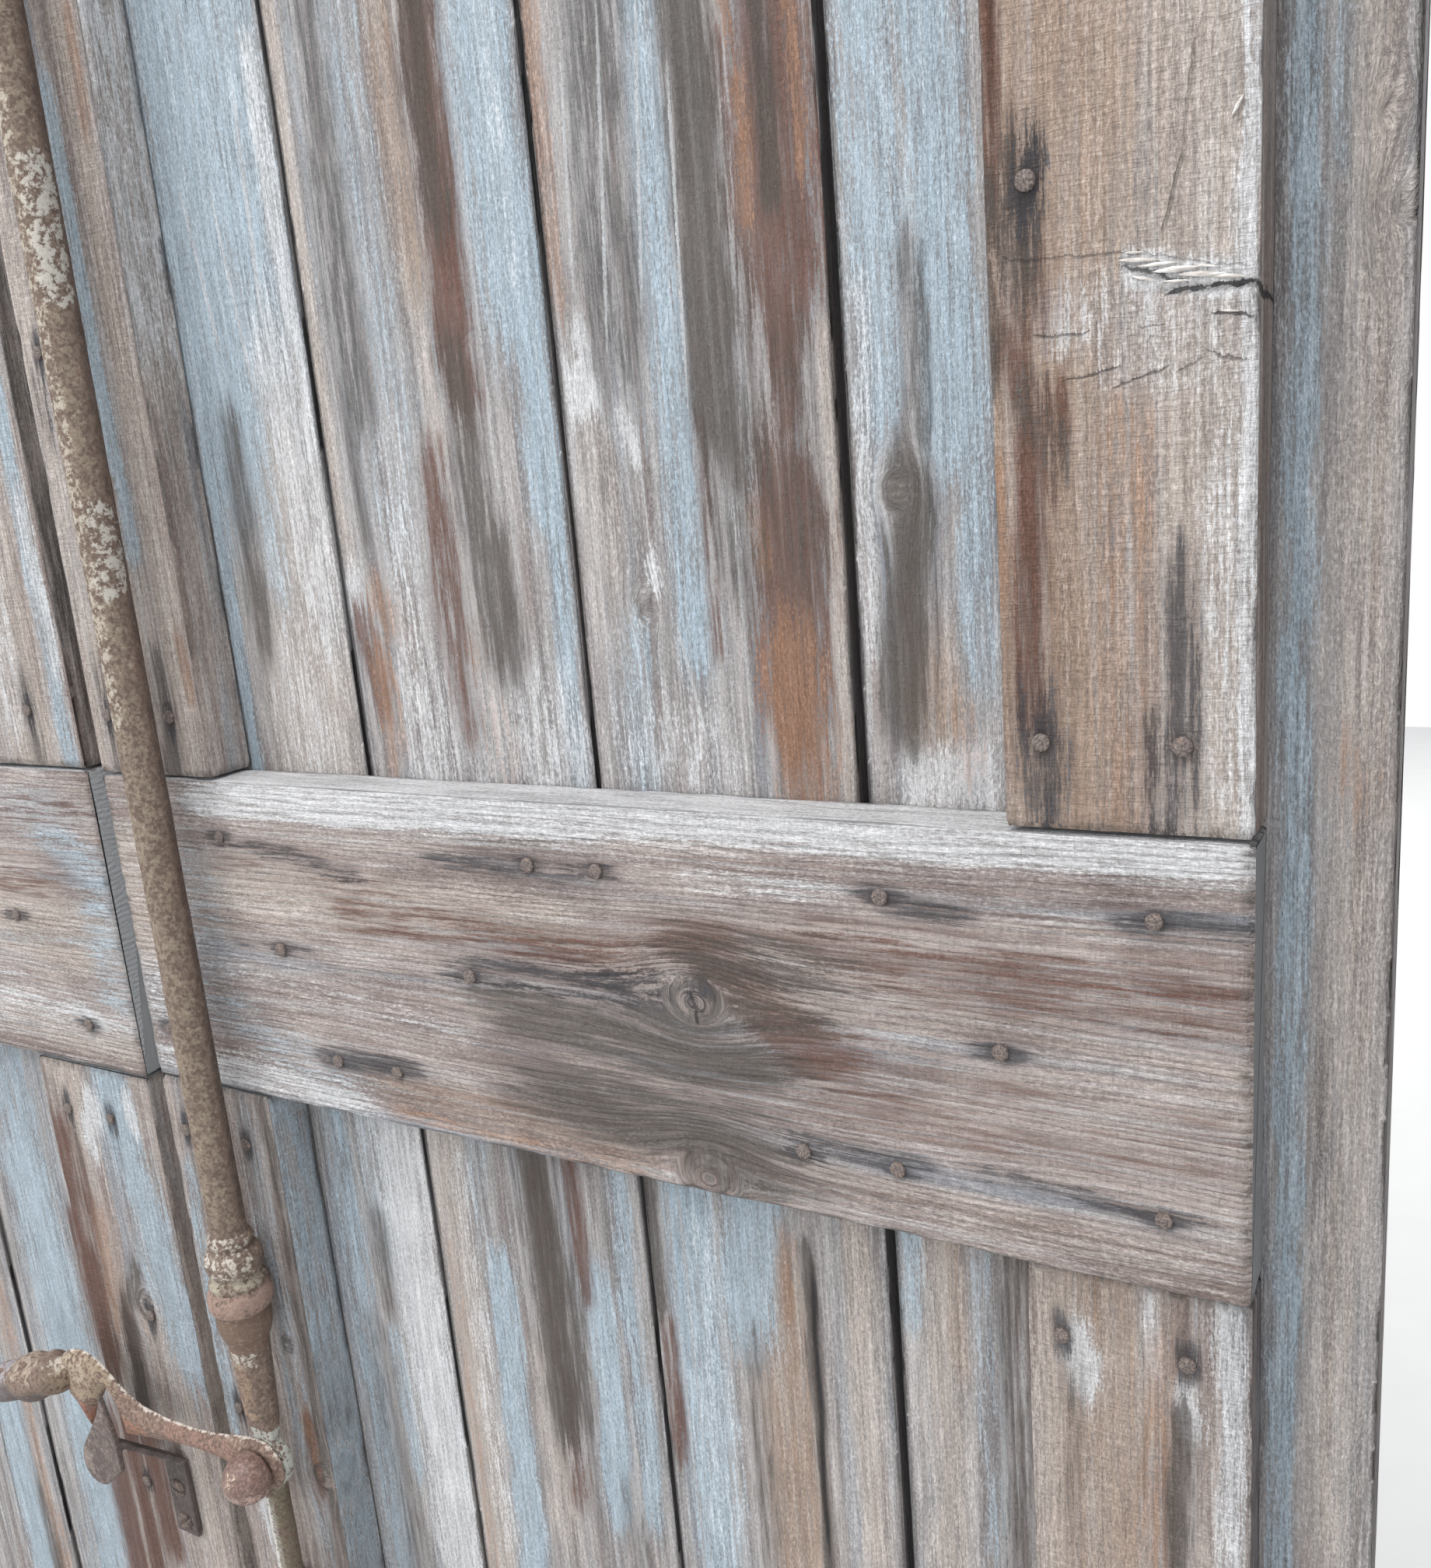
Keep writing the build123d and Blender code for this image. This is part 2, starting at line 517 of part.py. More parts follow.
def make_rod():
    """Forged rod with turned collar, tapering shank, flat tang, stop ring and two end tongues."""
    top = HEAD_STOP - ROD_END_GAP
    foot = SILL_STOP + ROD_END_GAP
    collar = MIDDLE + COLLAR_TOP
    ring = collar - 25.0
    shank = ring - 30.0
    tang_top = PIVOT_Z + TANG_ABOVE
    stop_top = MIDDLE - GUIDE_BELOW + GUIDE_HEIGHT / 2 + STOP_RING_HEIGHT
    outline = Polyline(
        (0, top), (ROD_RADIUS, top), (ROD_RADIUS, collar + 0.5), (ROD_RADIUS + 1.6, collar - 0.6),
        (ROD_RADIUS + 1.6, collar - 4.0), (ROD_RADIUS + 0.3, collar - 5.5),
        (BULB_RADIUS - 1.6, collar - 8.0), (BULB_RADIUS, collar - 11.5), (BULB_RADIUS - 0.6, collar - 15.0),
        (BULB_RADIUS - 2.6, collar - 18.6), (BULB_RADIUS - 1.5, collar - 19.8),
        (BULB_RADIUS - 0.2, collar - 21.2), (BULB_RADIUS - 0.2, collar - 23.0),
        (RING_RADIUS - 2.0, ring), (RING_RADIUS - 0.4, ring - 3.0),
        (RING_RADIUS, ring - 6.5), (RING_RADIUS - 0.8, ring - 10.0), (CUP_RADIUS - 1.0, ring - 12.0),
        (CUP_RADIUS, ring - 15.0), (CUP_RADIUS - 0.6, ring - 22.0), (CUP_RADIUS - 2.2, ring - 28.0),
        (SHANK_TOP_RADIUS, shank), (SHANK_FOOT_RADIUS, tang_top), (LOWER_ROD_RADIUS, PIVOT_Z - TANG_BELOW),
        (LOWER_ROD_RADIUS, stop_top), (STOP_RING_RADIUS, stop_top),
        (STOP_RING_RADIUS, stop_top - STOP_RING_HEIGHT), (LOWER_ROD_RADIUS, stop_top - STOP_RING_HEIGHT),
        (LOWER_ROD_RADIUS, foot), (0, foot), close=True)
    turned = Pos(ROD_X, ROD_Y, 0) * revolve(Plane.XZ * make_face(outline), Axis.Z)
    half = TANG_THICKNESS / 2
    # The shank is hammered flat round the pivot, front and back, and swells to the tang's width
    for y0, y1 in ((ROD_Y - RING_RADIUS, ROD_Y - half), (ROD_Y + half, ROD_Y + RING_RADIUS)):
        turned -= block(ROD_X - RING_RADIUS, ROD_X + RING_RADIUS, y0, y1, PIVOT_Z - TANG_BELOW, tang_top)
    turned += rod_along_y(ROD_X, PIVOT_Z, TANG_WIDTH / 2, ROD_Y - half, ROD_Y + half)
    turned -= rod_along_y(ROD_X, PIVOT_Z, PIVOT_RADIUS + PIVOT_PLAY, ROD_Y - RING_RADIUS, ROD_Y + RING_RADIUS)
    for z0, z1 in ((top - END_TONGUE_HEIGHT, top), (foot, foot + END_TONGUE_HEIGHT)):
        turned += block(ROD_X - TONGUE_REACH, ROD_X, ROD_Y - END_TONGUE_THICKNESS / 2,
                        ROD_Y + END_TONGUE_THICKNESS / 2, z0, z1)
    return turned


def guide(middle, radius):
    """Plate screwed to the framing, with a ring on a web that the rod turns in."""
    half_width, sheet, half_height = GUIDE_PLATE[0] / 2, GUIDE_PLATE[1], GUIDE_PLATE[2] / 2
    z0, z1 = middle - GUIDE_HEIGHT / 2, middle + GUIDE_HEIGHT / 2
    outer = radius + ROD_PLAY + GUIDE_WALL
    plate = block(ROD_X - half_width, ROD_X + half_width, FRONT - sheet, FRONT,
                  middle - half_height, middle + half_height)
    web = block(ROD_X - GUIDE_WEB / 2, ROD_X + GUIDE_WEB / 2, ROD_Y, FRONT, z0, z1)
    ring = rod_along_z(ROD_X, ROD_Y, outer, z0, z1) - block(
        ROD_X - outer, ROD_X + outer, FRONT, FRONT + outer, z0, z1)
    slot = rod_along_z(ROD_X, ROD_Y, radius + ROD_PLAY, z0 - 1, z1 + 1)
    across, rise = half_width - GUIDE_SCREW_INSET, half_height - GUIDE_SCREW_INSET
    places = [(ROD_X + i * across, FRONT - sheet, middle + j * rise) for i in (-1, 1) for j in (-1, 1)]
    holes = [screw_hole(*place, (0, 1, 0)) for place in places]
    return plate + web + ring - [slot] - holes, [screw(*place, (0, 1, 0)) for place in places], holes


def make_pivot_pin():
    """Ball-headed pin through the lever's eye and the tang, riveted at the back."""
    back = ROD_Y + TANG_THICKNESS / 2
    seat = LEVER_FRONT - LEVER_PLAY
    shank = rod_along_y(ROD_X, PIVOT_Z, PIVOT_RADIUS, seat - BALL_FLAT, back + RIVET_HEIGHT)
    ball = Pos(ROD_X, seat - BALL_RADIUS + BALL_FLAT, PIVOT_Z) * Sphere(BALL_RADIUS)
    ball -= block(ROD_X - BALL_RADIUS, ROD_X + BALL_RADIUS, seat, seat + BALL_RADIUS,
                  PIVOT_Z - BALL_RADIUS, PIVOT_Z + BALL_RADIUS)
    rivet = rod_along_y(ROD_X, PIVOT_Z, RIVET_RADIUS, back, back + RIVET_HEIGHT)
    return shank + ball + rivet


# Lever outline, measured from the pivot: X to the left is negative, Z up
LEVER_ARM_TOP = ((-12.0, 11.4), (-33.0, 6.6), (-55.0, 4.5), (-78.0, 5.5), (-91.0, 10.0))
LEVER_CREST = ((-102.0, 18.0), (-111.0, 23.5), (-121.0, 25.5), (-131.0, 23.0))
LEVER_NECK_TOP = (-140.0, 15.0)
LEVER_NECK_FOOT = (-141.5, -2.0)
LEVER_LOBE = ((-133.0, -6.0), (-125.5, -20.5))
LEVER_NOTCH = ((-114.0, -2.0), (-106.0, 9.0))
LEVER_HEEL = ((-102.0, 4.0), (-98.5, -15.6))
LEVER_ARM_FOOT = ((-80.0, -12.0), (-52.0, -7.5), (-25.0, -6.6))
KNOB_START = (-134.0, 11.0)


def make_knob():
    """Turned end of the lever: ring, bead, waist and swelling, drawn along X from its start."""
    swell = KNOB_LENGTH * 0.8
    round_end = 0.55 * (KNOB_LENGTH - swell)
    profile = make_face([
        Line((0, 0), (0, KNOB_ROOT_RADIUS)),
        Spline((0, KNOB_ROOT_RADIUS), (-7.5, KNOB_RING_RADIUS - 1.5), (-12.0, KNOB_RING_RADIUS),
               (-18.5, KNOB_GROOVE_RADIUS), (-29.0, BEAD_RADIUS), (-43.0, KNOB_WAIST_RADIUS),
               (-swell, KNOB_RADIUS), tangents=((-1, 0.6), (-1, 0))),
        Bezier((-swell, KNOB_RADIUS), (-swell - round_end, KNOB_RADIUS), (-KNOB_LENGTH, 0.6 * KNOB_RADIUS),
               (-KNOB_LENGTH, KNOB_ROOT_RADIUS)),
        Line((-KNOB_LENGTH, KNOB_ROOT_RADIUS), (-KNOB_LENGTH, 0)),
        Line((-KNOB_LENGTH, 0), (0, 0)),
    ])
    return revolve(Plane.XZ * profile, Axis.X)


def make_lever():
    """Forged lever: round eye, arm, crested head with a pointed lobe, and a turned knob."""
    eye_top = (0, EYE_RADIUS)
    eye_foot = (0, -EYE_RADIUS)
    outline = [
        Spline(eye_top, *LEVER_ARM_TOP, *LEVER_CREST, LEVER_NECK_TOP),
        Line(LEVER_NECK_TOP, LEVER_NECK_FOOT),
        Spline(LEVER_NECK_FOOT, *LEVER_LOBE),
        Spline(LEVER_LOBE[-1], *LEVER_NOTCH),
        Spline(LEVER_NOTCH[-1], *LEVER_HEEL),
        Spline(LEVER_HEEL[-1], *LEVER_ARM_FOOT, eye_foot),
        ThreePointArc(eye_foot, (EYE_RADIUS, 0), eye_top),
    ]
    plate = plate_y(outline, LEVER_FRONT, LEVER_BACK)
    plate = fillet(plate.faces().sort_by(Axis.Y)[0].edges(), LEVER_EDGE)
    middle_y = (LEVER_FRONT + LEVER_BACK) / 2
    knob = Pos(KNOB_START[0], middle_y, KNOB_START[1]) * Rot(0, -KNOB_DROOP, 0) * make_knob()
    bore = rod_along_y(0, 0, PIVOT_RADIUS + PIVOT_PLAY, LEVER_FRONT - 1, LEVER_BACK + 1)
    return Pos(ROD_X, 0, PIVOT_Z) * (plate + knob - bore)


# Keep's upturned leaf in front of the lever, measured from the pivot
LEAF_TIP = (-103.0, 10.0)
LEAF_SIDE = ((-112.0, -8.0), (-120.5, -20.0), (-126.0, -31.0), (-124.0, -41.0), (-117.0, -44.5),
             (-108.0, -41.0))
LEAF_ROOT = ((-97.0, -32.0), (-97.0, -14.0))
SHELF_LEFT = -118.0             # shelf's left end at the leaf
BASE_RIGHT = -83.0
BASE_TOP = -40.0


def make_lever_keep():
    """Hook of bent sheet on the left leaf: screwed base, sloping shelf, upturned leaf."""
    leaf_back = LEVER_FRONT - LEVER_KEEP_PLAY
    leaf = plate_y([Spline(LEAF_TIP, *LEAF_SIDE), Line(LEAF_SIDE[-1], LEAF_ROOT[0]),
                    Line(LEAF_ROOT[0], LEAF_ROOT[1]), Line(LEAF_ROOT[1], LEAF_TIP)],
                   leaf_back - LEVER_KEEP_SHEET, leaf_back)
    shelf_right = LEAF_ROOT[0][0]
    shelf_top = LEVER_HEEL[-1][1] - LEVER_REST_GAP
    drop = LEVER_KEEP_SHEET * sqrt(2)
    middle_x = BASE_RIGHT - LEVER_KEEP_BASE_WIDTH / 2
    # The shelf is skewed: it leaves the base and reaches the leaf further to the left
    at_base = Plane.XZ.offset(-FRONT) * Pos(middle_x, BASE_TOP - drop / 2) * Rectangle(
        LEVER_KEEP_BASE_WIDTH, drop)
    leaf_x = (SHELF_LEFT + shelf_right) / 2
    at_leaf = Plane.XZ.offset(-leaf_back) * Pos(leaf_x, shelf_top - drop / 2) * Rectangle(
        shelf_right - SHELF_LEFT, drop)
    shelf = loft([at_base, at_leaf])
    base = block(BASE_RIGHT - LEVER_KEEP_BASE_WIDTH, BASE_RIGHT, FRONT - LEVER_KEEP_SHEET, FRONT,
                 BASE_TOP - LEVER_KEEP_BASE_HEIGHT, BASE_TOP)
    places = [(middle_x, FRONT - LEVER_KEEP_SHEET, BASE_TOP - share * LEVER_KEEP_BASE_HEIGHT)
              for share in LEVER_KEEP_SCREWS]
    place = Pos(ROD_X, 0, PIVOT_Z)
    holes = [place * screw_hole(*point, (0, 1, 0)) for point in places]
    screws = [place * screw(*point, (0, 1, 0)) for point in places]
    return place * (leaf + shelf + base) - holes, screws, holes


# The frame, its pintles and the bolt's two keeps
pintle_screws = []
for end, middle in STRAP_MIDDLES.items():
    pintle = make_pintle(middle)
    save(f"pintle_right_{end}", pintle)
    save(f"pintle_left_{end}", mirrored(pintle))
    screws = [screw(x, OUTSIDE + PINTLE_PLATE[1], z, (0, -1, 0)) for x, z in plate_screw_places(middle)]
    pintle_screws += screws + [mirrored(one) for one in screws]
save("pintle_screws", Compound(children=pintle_screws))

sill, head, left_jamb, right_jamb, pegs = make_frame()
head_keep, head_screws, head_holes = end_keep(HEAD_STOP, -1)
sill_keep, sill_screws, sill_holes = end_keep(SILL_STOP, 1)
save("frame_sill", sill - sill_holes)
save("frame_head", head - head_holes)
save("frame_left_jamb", left_jamb)
save("frame_right_jamb", right_jamb)
save("frame_pegs", pegs)
save("bolt_keep_head", head_keep)
save("bolt_keep_sill", sill_keep)
save("bolt_keep_screws", Compound(children=head_screws + sill_screws))

# The espagnolette: rod, guides, pivot pin, lever, and the lever's keep on the left leaf
save("espagnolette_rod", make_rod())
save("lever_pivot_pin", make_pivot_pin())
save("lever_handle", make_lever())
lever_keep, lever_keep_screws, lever_keep_holes = make_lever_keep()
save("lever_keep", lever_keep)
save("lever_keep_screws", Compound(children=lever_keep_screws))
guide_screws = []
guide_holes = []
for name, radius, middles in (("upper", ROD_RADIUS, (MIDDLE + GUIDE_ABOVE, TOP_RAIL_MIDDLE)),
                              ("lower", LOWER_ROD_RADIUS, (MIDDLE - GUIDE_BELOW, BOTTOM_RAIL_MIDDLE))):
    guides = []
    for middle in middles:
        one, screws, holes = guide(middle, radius)
        guides.append(one)
        guide_screws += screws
        guide_holes += holes
    save(f"rod_guides_{name}", Compound(children=guides))
save("guide_screws", Compound(children=guide_screws))

# The leaves, with their strap hinges
bolt_holes = [rod_along_y(x, z, BOLT_RADIUS + BOLT_PLAY, FRONT - 1, OUTSIDE + 1) for x, z in BOLT_PLACES]
right_leaf = make_leaf(RIGHT_BOARD_EDGE, RIGHT_BOARD_WIDTHS, 2, RIGHT_MEETING_EDGE, RIGHT_MEETING_STILE,
                       RIGHT_HINGE_STILE, RIGHT_RAIL_HEIGHT, 0, -RIGHT_LOWER_STILE_THICKNESS,
                       RIGHT_MIDDLE_NAILS, RIGHT_STILE_NAILS, bolt_holes + guide_holes)
left_leaf = make_leaf(LEFT_BOARD_EDGE, LEFT_BOARD_WIDTHS, 1, LEFT_MEETING_EDGE, LEFT_MEETING_STILE,
                      LEFT_HINGE_STILE, LEFT_RAIL_HEIGHT, LEFT_RAIL_DROP, FRONT,
                      LEFT_MIDDLE_NAILS, LEFT_STILE_NAILS,
                      bolt_holes + [mirrored(hole) for hole in lever_keep_holes])
for name, piece in right_leaf.items():
    save(f"right_{name}", piece)
for name, piece in left_leaf.items():
    save(f"left_{name}", mirrored(piece))
straps = {end: make_strap(middle) for end, middle in STRAP_MIDDLES.items()}
bolts = Compound(children=[make_bolt(x, z) for x, z in BOLT_PLACES])
nuts = Compound(children=[make_nut(x, z) for x, z in BOLT_PLACES])
for end, strap in straps.items():
    save(f"right_strap_{end}", strap)
    save(f"left_strap_{end}", mirrored(strap))
save("right_strap_bolts", bolts)
save("left_strap_bolts", mirrored(bolts))
save("right_strap_nuts", nuts)
save("left_strap_nuts", mirrored(nuts))
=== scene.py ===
"""Looks of the pair of antique wooden shutter leaves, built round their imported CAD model.

Sizes are written in millimetres in the CAD's frame: X to the right as seen from the room,
Y outdoors, Z up. Meshes are turned into metres when they are made.
"""

import math

import bmesh
import bpy
import numpy as np
from mathutils import Matrix, Vector


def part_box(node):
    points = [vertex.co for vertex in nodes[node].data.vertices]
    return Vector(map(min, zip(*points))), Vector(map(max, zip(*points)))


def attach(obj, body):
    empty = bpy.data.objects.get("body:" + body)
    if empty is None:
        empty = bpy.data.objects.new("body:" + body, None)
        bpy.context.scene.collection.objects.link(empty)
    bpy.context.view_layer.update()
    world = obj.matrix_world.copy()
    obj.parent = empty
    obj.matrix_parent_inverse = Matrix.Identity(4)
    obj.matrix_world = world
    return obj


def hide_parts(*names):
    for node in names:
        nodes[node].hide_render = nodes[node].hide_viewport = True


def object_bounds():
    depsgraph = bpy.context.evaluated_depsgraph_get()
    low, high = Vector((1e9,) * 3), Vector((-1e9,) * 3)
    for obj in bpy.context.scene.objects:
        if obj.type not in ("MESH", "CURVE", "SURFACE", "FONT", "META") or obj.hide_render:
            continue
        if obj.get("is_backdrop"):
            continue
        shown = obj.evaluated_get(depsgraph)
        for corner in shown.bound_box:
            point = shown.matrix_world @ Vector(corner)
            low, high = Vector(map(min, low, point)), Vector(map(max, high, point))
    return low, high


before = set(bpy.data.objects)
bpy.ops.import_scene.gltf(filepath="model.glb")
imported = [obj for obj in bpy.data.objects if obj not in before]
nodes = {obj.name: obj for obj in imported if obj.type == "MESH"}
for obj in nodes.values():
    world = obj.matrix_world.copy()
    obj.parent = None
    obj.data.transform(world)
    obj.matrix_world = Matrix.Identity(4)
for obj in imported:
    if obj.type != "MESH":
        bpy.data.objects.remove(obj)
cad_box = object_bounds()

# The camera stands close to the hinge edge of the right leaf, a little above its middle rail,
# and looks left and down along the room side. The photograph is 1840 by 2016 pixels.
CAMERA_PLACE = Vector((0.5224, -0.3894, 0.9457))
YAW, PITCH, ROLL = math.radians(-30.21), math.radians(-13.56), math.radians(-4.90)
IMAGE_HEIGHT = 2016
FOCAL_PIXELS = 1763.9
SENSOR = 36.0


def set_up(name, data):
    """A new object in the scene."""
    made = bpy.data.objects.new(name, data)
    bpy.context.scene.collection.objects.link(made)
    return made


look = Vector((math.sin(YAW) * math.cos(PITCH), math.cos(YAW) * math.cos(PITCH), math.sin(PITCH)))
level = Vector((math.cos(YAW), -math.sin(YAW), 0))
upright = level.cross(look)
right = math.cos(ROLL) * level + math.sin(ROLL) * upright
up = -math.sin(ROLL) * level + math.cos(ROLL) * upright
lens = bpy.data.cameras.new("camera")
lens.sensor_fit = "VERTICAL"
lens.sensor_height = SENSOR
lens.lens = FOCAL_PIXELS * SENSOR / IMAGE_HEIGHT
lens.clip_start = 0.01
camera = set_up("camera", lens)
turn = Matrix((right, up, -look)).transposed().to_4x4()
camera.matrix_world = Matrix.Translation(CAMERA_PLACE) @ turn
bpy.context.scene.camera = camera

# A plain pale floor under the frame, soft light from the upper left of the room as in the
# photograph, and a white world behind. Everything procedural goes through this small class.


class Wire:
    """An output of a node tree that ordinary sums and products act on."""

    def __init__(self, tree, socket=None):
        self.tree = tree
        self.socket = socket

    def node(self, kind, settings=None, inputs=None, output=0):
        """Add any node: its settings first, then values or links for its inputs."""
        made = self.tree.nodes.new(kind)
        for name, value in (settings or {}).items():
            setattr(made, name, value)
        for name, value in (inputs or {}).items():
            if isinstance(value, Wire):
                self.tree.links.new(value.socket, made.inputs[name])
            else:
                made.inputs[name].default_value = value
        return Wire(self.tree, made.outputs[output]) if len(made.outputs) else made

    def sum(self, operation, first, second):
        wires = [one for one in (first, second) if isinstance(one, Wire)]
        if any(one.socket.type == "VECTOR" for one in wires):
            triples = [one if isinstance(one, (Wire, tuple)) else (one, one, one)
                       for one in (first, second)]
            return self.node("ShaderNodeVectorMath", {"operation": operation}, dict(enumerate(triples)))
        return self.node("ShaderNodeMath", {"operation": operation}, {0: first, 1: second})

    def __add__(self, other):
        return self.sum("ADD", self, other)

    def __radd__(self, other):
        return self.sum("ADD", other, self)

    def __sub__(self, other):
        return self.sum("SUBTRACT", self, other)

    def __rsub__(self, other):
        return self.sum("SUBTRACT", other, self)

    def __mul__(self, other):
        return self.sum("MULTIPLY", self, other)

    def __rmul__(self, other):
        return self.sum("MULTIPLY", other, self)

    def __pow__(self, other):
        return self.sum("POWER", self, other)

    def rise(self, low, high):
        """0 below low, 1 above high, smooth between them."""
        settings = {"interpolation_type": "SMOOTHSTEP"}
        return self.node("ShaderNodeMapRange", settings, {"Value": self, "From Min": low, "From Max": high})

    def over(self, under, amount, mode="MIX"):
        """This colour laid over another one."""
        settings = {"data_type": "RGBA", "blend_type": mode}
        return self.node("ShaderNodeMix", settings, {0: amount, 6: under, 7: self}, 2)

    def noise(self, scale, detail=2.0, roughness=0.5, distortion=0.0):
        inputs = {"Vector": self, "Scale": scale, "Detail": detail, "Roughness": roughness,
                  "Distortion": distortion}
        return self.node("ShaderNodeTexNoise", None, inputs)

    def parts(self):
        split = self.node("ShaderNodeSeparateXYZ", None, {0: self})
        outputs = split.socket.node.outputs
        return [Wire(self.tree, one) for one in outputs]


def shade(red, green, blue):
    """A colour as it looks, 0 to 255, turned into the light values that Blender mixes."""
    def light(value):
        value /= 255
        return value / 12.92 if value <= 0.04045 else ((value + 0.055) / 1.055) ** 2.4
    return (light(red), light(green), light(blue), 1.0)


def start_finish(name):
    material = bpy.data.materials.new(name)
    material.use_nodes = True
    material.node_tree.nodes.clear()
    return material, Wire(material.node_tree)


def end_finish(start, colour, roughness, height, depth, strength=1.0, metallic=0.0):
    """Surface of a finish; height times depth, in metres, is how far the bump stands out."""
    bump = start.node("ShaderNodeBump", None, {"Height": height, "Distance": depth, "Strength": strength})
    inputs = {"Base Color": colour, "Roughness": roughness, "Metallic": metallic, "Normal": bump}
    surface = start.node("ShaderNodeBsdfPrincipled", None, inputs)
    start.node("ShaderNodeOutputMaterial", None, {"Surface": surface})


def place_in_object(start):
    """Position on a piece, in millimetres of the shared frame."""
    return start.node("ShaderNodeTexCoord", output=3) * (1.0 / MM)


def mixed(start, amount, under, over):
    """Two colours mixed; amount 1 gives the second."""
    return start.node("ShaderNodeMix", {"data_type": "RGBA"}, {0: amount, 6: under, 7: over}, 2)


MM = 0.001
FLOOR_SIZE = 8000.0
FLOOR_HEIGHT = -0.5
floor_finish, start = start_finish("pale floor")
spot = place_in_object(start)
speckle = spot.noise(0.02, 3.0)
tone = mixed(start, speckle, shade(222, 221, 219), shade(229, 228, 226))
end_finish(start, tone, 0.8, speckle, 0.0002)
half = FLOOR_SIZE / 2 * MM
floor_mesh = bpy.data.meshes.new("floor")
corners = [(x * half, y * half, FLOOR_HEIGHT * MM) for x, y in ((-1, -1), (1, -1), (1, 1), (-1, 1))]
floor_mesh.from_pydata(corners, [], [(0, 1, 2, 3)])
floor_mesh.materials.append(floor_finish)
floor = set_up("floor", floor_mesh)
floor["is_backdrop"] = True

WORLD_LIGHT = (0.67, 0.69, 0.72, 1.0)
world = bpy.data.worlds.new("studio")
world.use_nodes = True
world.node_tree.nodes.clear()
start = Wire(world.node_tree)
rays = start.node("ShaderNodeLightPath")
seen = [Wire(world.node_tree, rays.socket.node.outputs[name])
        for name in ("Is Camera Ray", "Is Glossy Ray", "Is Transmission Ray")]
white = (seen[0] + seen[1] + seen[2]).rise(0.0, 1.0)
plain = start.node("ShaderNodeBackground", None, {"Color": WORLD_LIGHT, "Strength": 1.0})
bright = start.node("ShaderNodeBackground", None, {"Color": (1.0, 1.0, 1.0, 1.0), "Strength": 1.0})
both = start.node("ShaderNodeMixShader", None, {0: white, 1: plain, 2: bright})
start.node("ShaderNodeOutputWorld", None, {"Surface": both})
bpy.context.scene.world = world


def soft_lamp(name, place, target, size, power):
    """A round lamp, in metres and watts, turned towards its target."""
    light = bpy.data.lights.new(name, "AREA")
    light.shape = "DISK"
    light.size = size
    light.energy = power
    lamp = set_up(name, light)
    facing = (Vector(place) - Vector(target)).to_track_quat("Z", "Y")
    lamp.matrix_world = Matrix.Translation(place) @ facing.to_matrix().to_4x4()


soft_lamp("room window", (-1.6, -2.1, 2.8), (0.1, 0.0, 0.8), 1.3, 46.0)
soft_lamp("room fill", (1.0, -3.2, 1.4), (0.2, 0.0, 0.8), 1.6, 16.0)
soft_lamp("sky over the leaves", (0.3, -0.8, 3.0), (0.2, 0.0, 0.8), 1.0, 30.0)
soft_lamp("outdoor sky", (0.8, 3.2, 2.6), (0.0, 0.0, 0.8), 2.2, 60.0)
bpy.context.scene.view_settings.view_transform = "Standard"

# The timber frame: sill and head with a stop on the room side, tenoned and pegged into two
# jambs. All of it is old sawn pine, painted pale blue once and weathered down to grey wood.
SHEET = 256
MARK_KINDS = ("blue", "white", "beige", "tan", "rust", "orange", "dark", "stain")
PAINT_KINDS, WEAR_KINDS = MARK_KINDS[:4], MARK_KINDS[4:]
RANDOM_KINDS = ("blue", "blue", "white", "beige", "beige", "tan", "rust", "dark", "orange", "blue")
WINDOW_FRAY = 60.0              # how raggedly random marks end beside a stretch that has none


def uneven(u, v, seed):
    """Smooth random heights from 0 to 1, one bump for each whole step of u and v."""
    sheet = np.random.default_rng(seed).random((SHEET, SHEET))
    iu, iv = np.floor(u).astype(int), np.floor(v).astype(int)
    fu, fv = u - iu, v - iv
    fu, fv = fu * fu * (3 - 2 * fu), fv * fv * (3 - 2 * fv)
    u0, v0, u1, v1 = iu % SHEET, iv % SHEET, (iu + 1) % SHEET, (iv + 1) % SHEET
    near = sheet[u0, v0] * (1 - fu) + sheet[u1, v0] * fu
    far = sheet[u0, v1] * (1 - fu) + sheet[u1, v1] * fu
    return near * (1 - fv) + far * fv


def section_points(corners, steps, radius, extra=()):
    """Points round a section with rounded corners, and how far each is from the nearest corner.
    The first side also has points at the extra places."""
    points = []
    reach = []
    for index, corner in enumerate(corners):
        start, end = np.array(corner, float), np.array(corners[(index + 1) % len(corners)], float)
        length = np.linalg.norm(end - start)
        direction = (end - start) / length
        inset = min(radius, length / 3)
        count = max(1, round((length - 2 * inset) / steps[index]))
        places = list(np.linspace(inset, length - inset, count + 1))
        if index == 0:
            offsets = [one - corners[0][0] for one in extra]
            places += [one for one in offsets if inset < one < length - inset]
        for place in sorted(places):
            points.append(start + direction * place)
            reach.append(min(place, length - place))
        # one point on the round of the next corner
        after = np.array(corners[(index + 2) % len(corners)], float)
        following = (after - end) / np.linalg.norm(after - end)
        points.append(end - direction * inset * 0.3 + following * inset * 0.3)
        reach.append(0.0)
    return np.array(points), np.array(reach)


def places_along(low, high, spacing, fine):
    """Stations of a timber, closer at its ends and over the fine stretches (from, to, step)."""
    stations = list(np.arange(low + 4, high - 4, spacing))
    stations += [low, low + 0.5, low + 1.8, high - 1.8, high - 0.5, high]
    for start, end, step in fine:
        stations += list(np.arange(start, end, step))
    stations = np.array(sorted(set(np.round(stations, 2))))
    keep = np.concatenate(([True], np.diff(stations) > 0.35))
    keep[-1] = True
    return stations[keep]


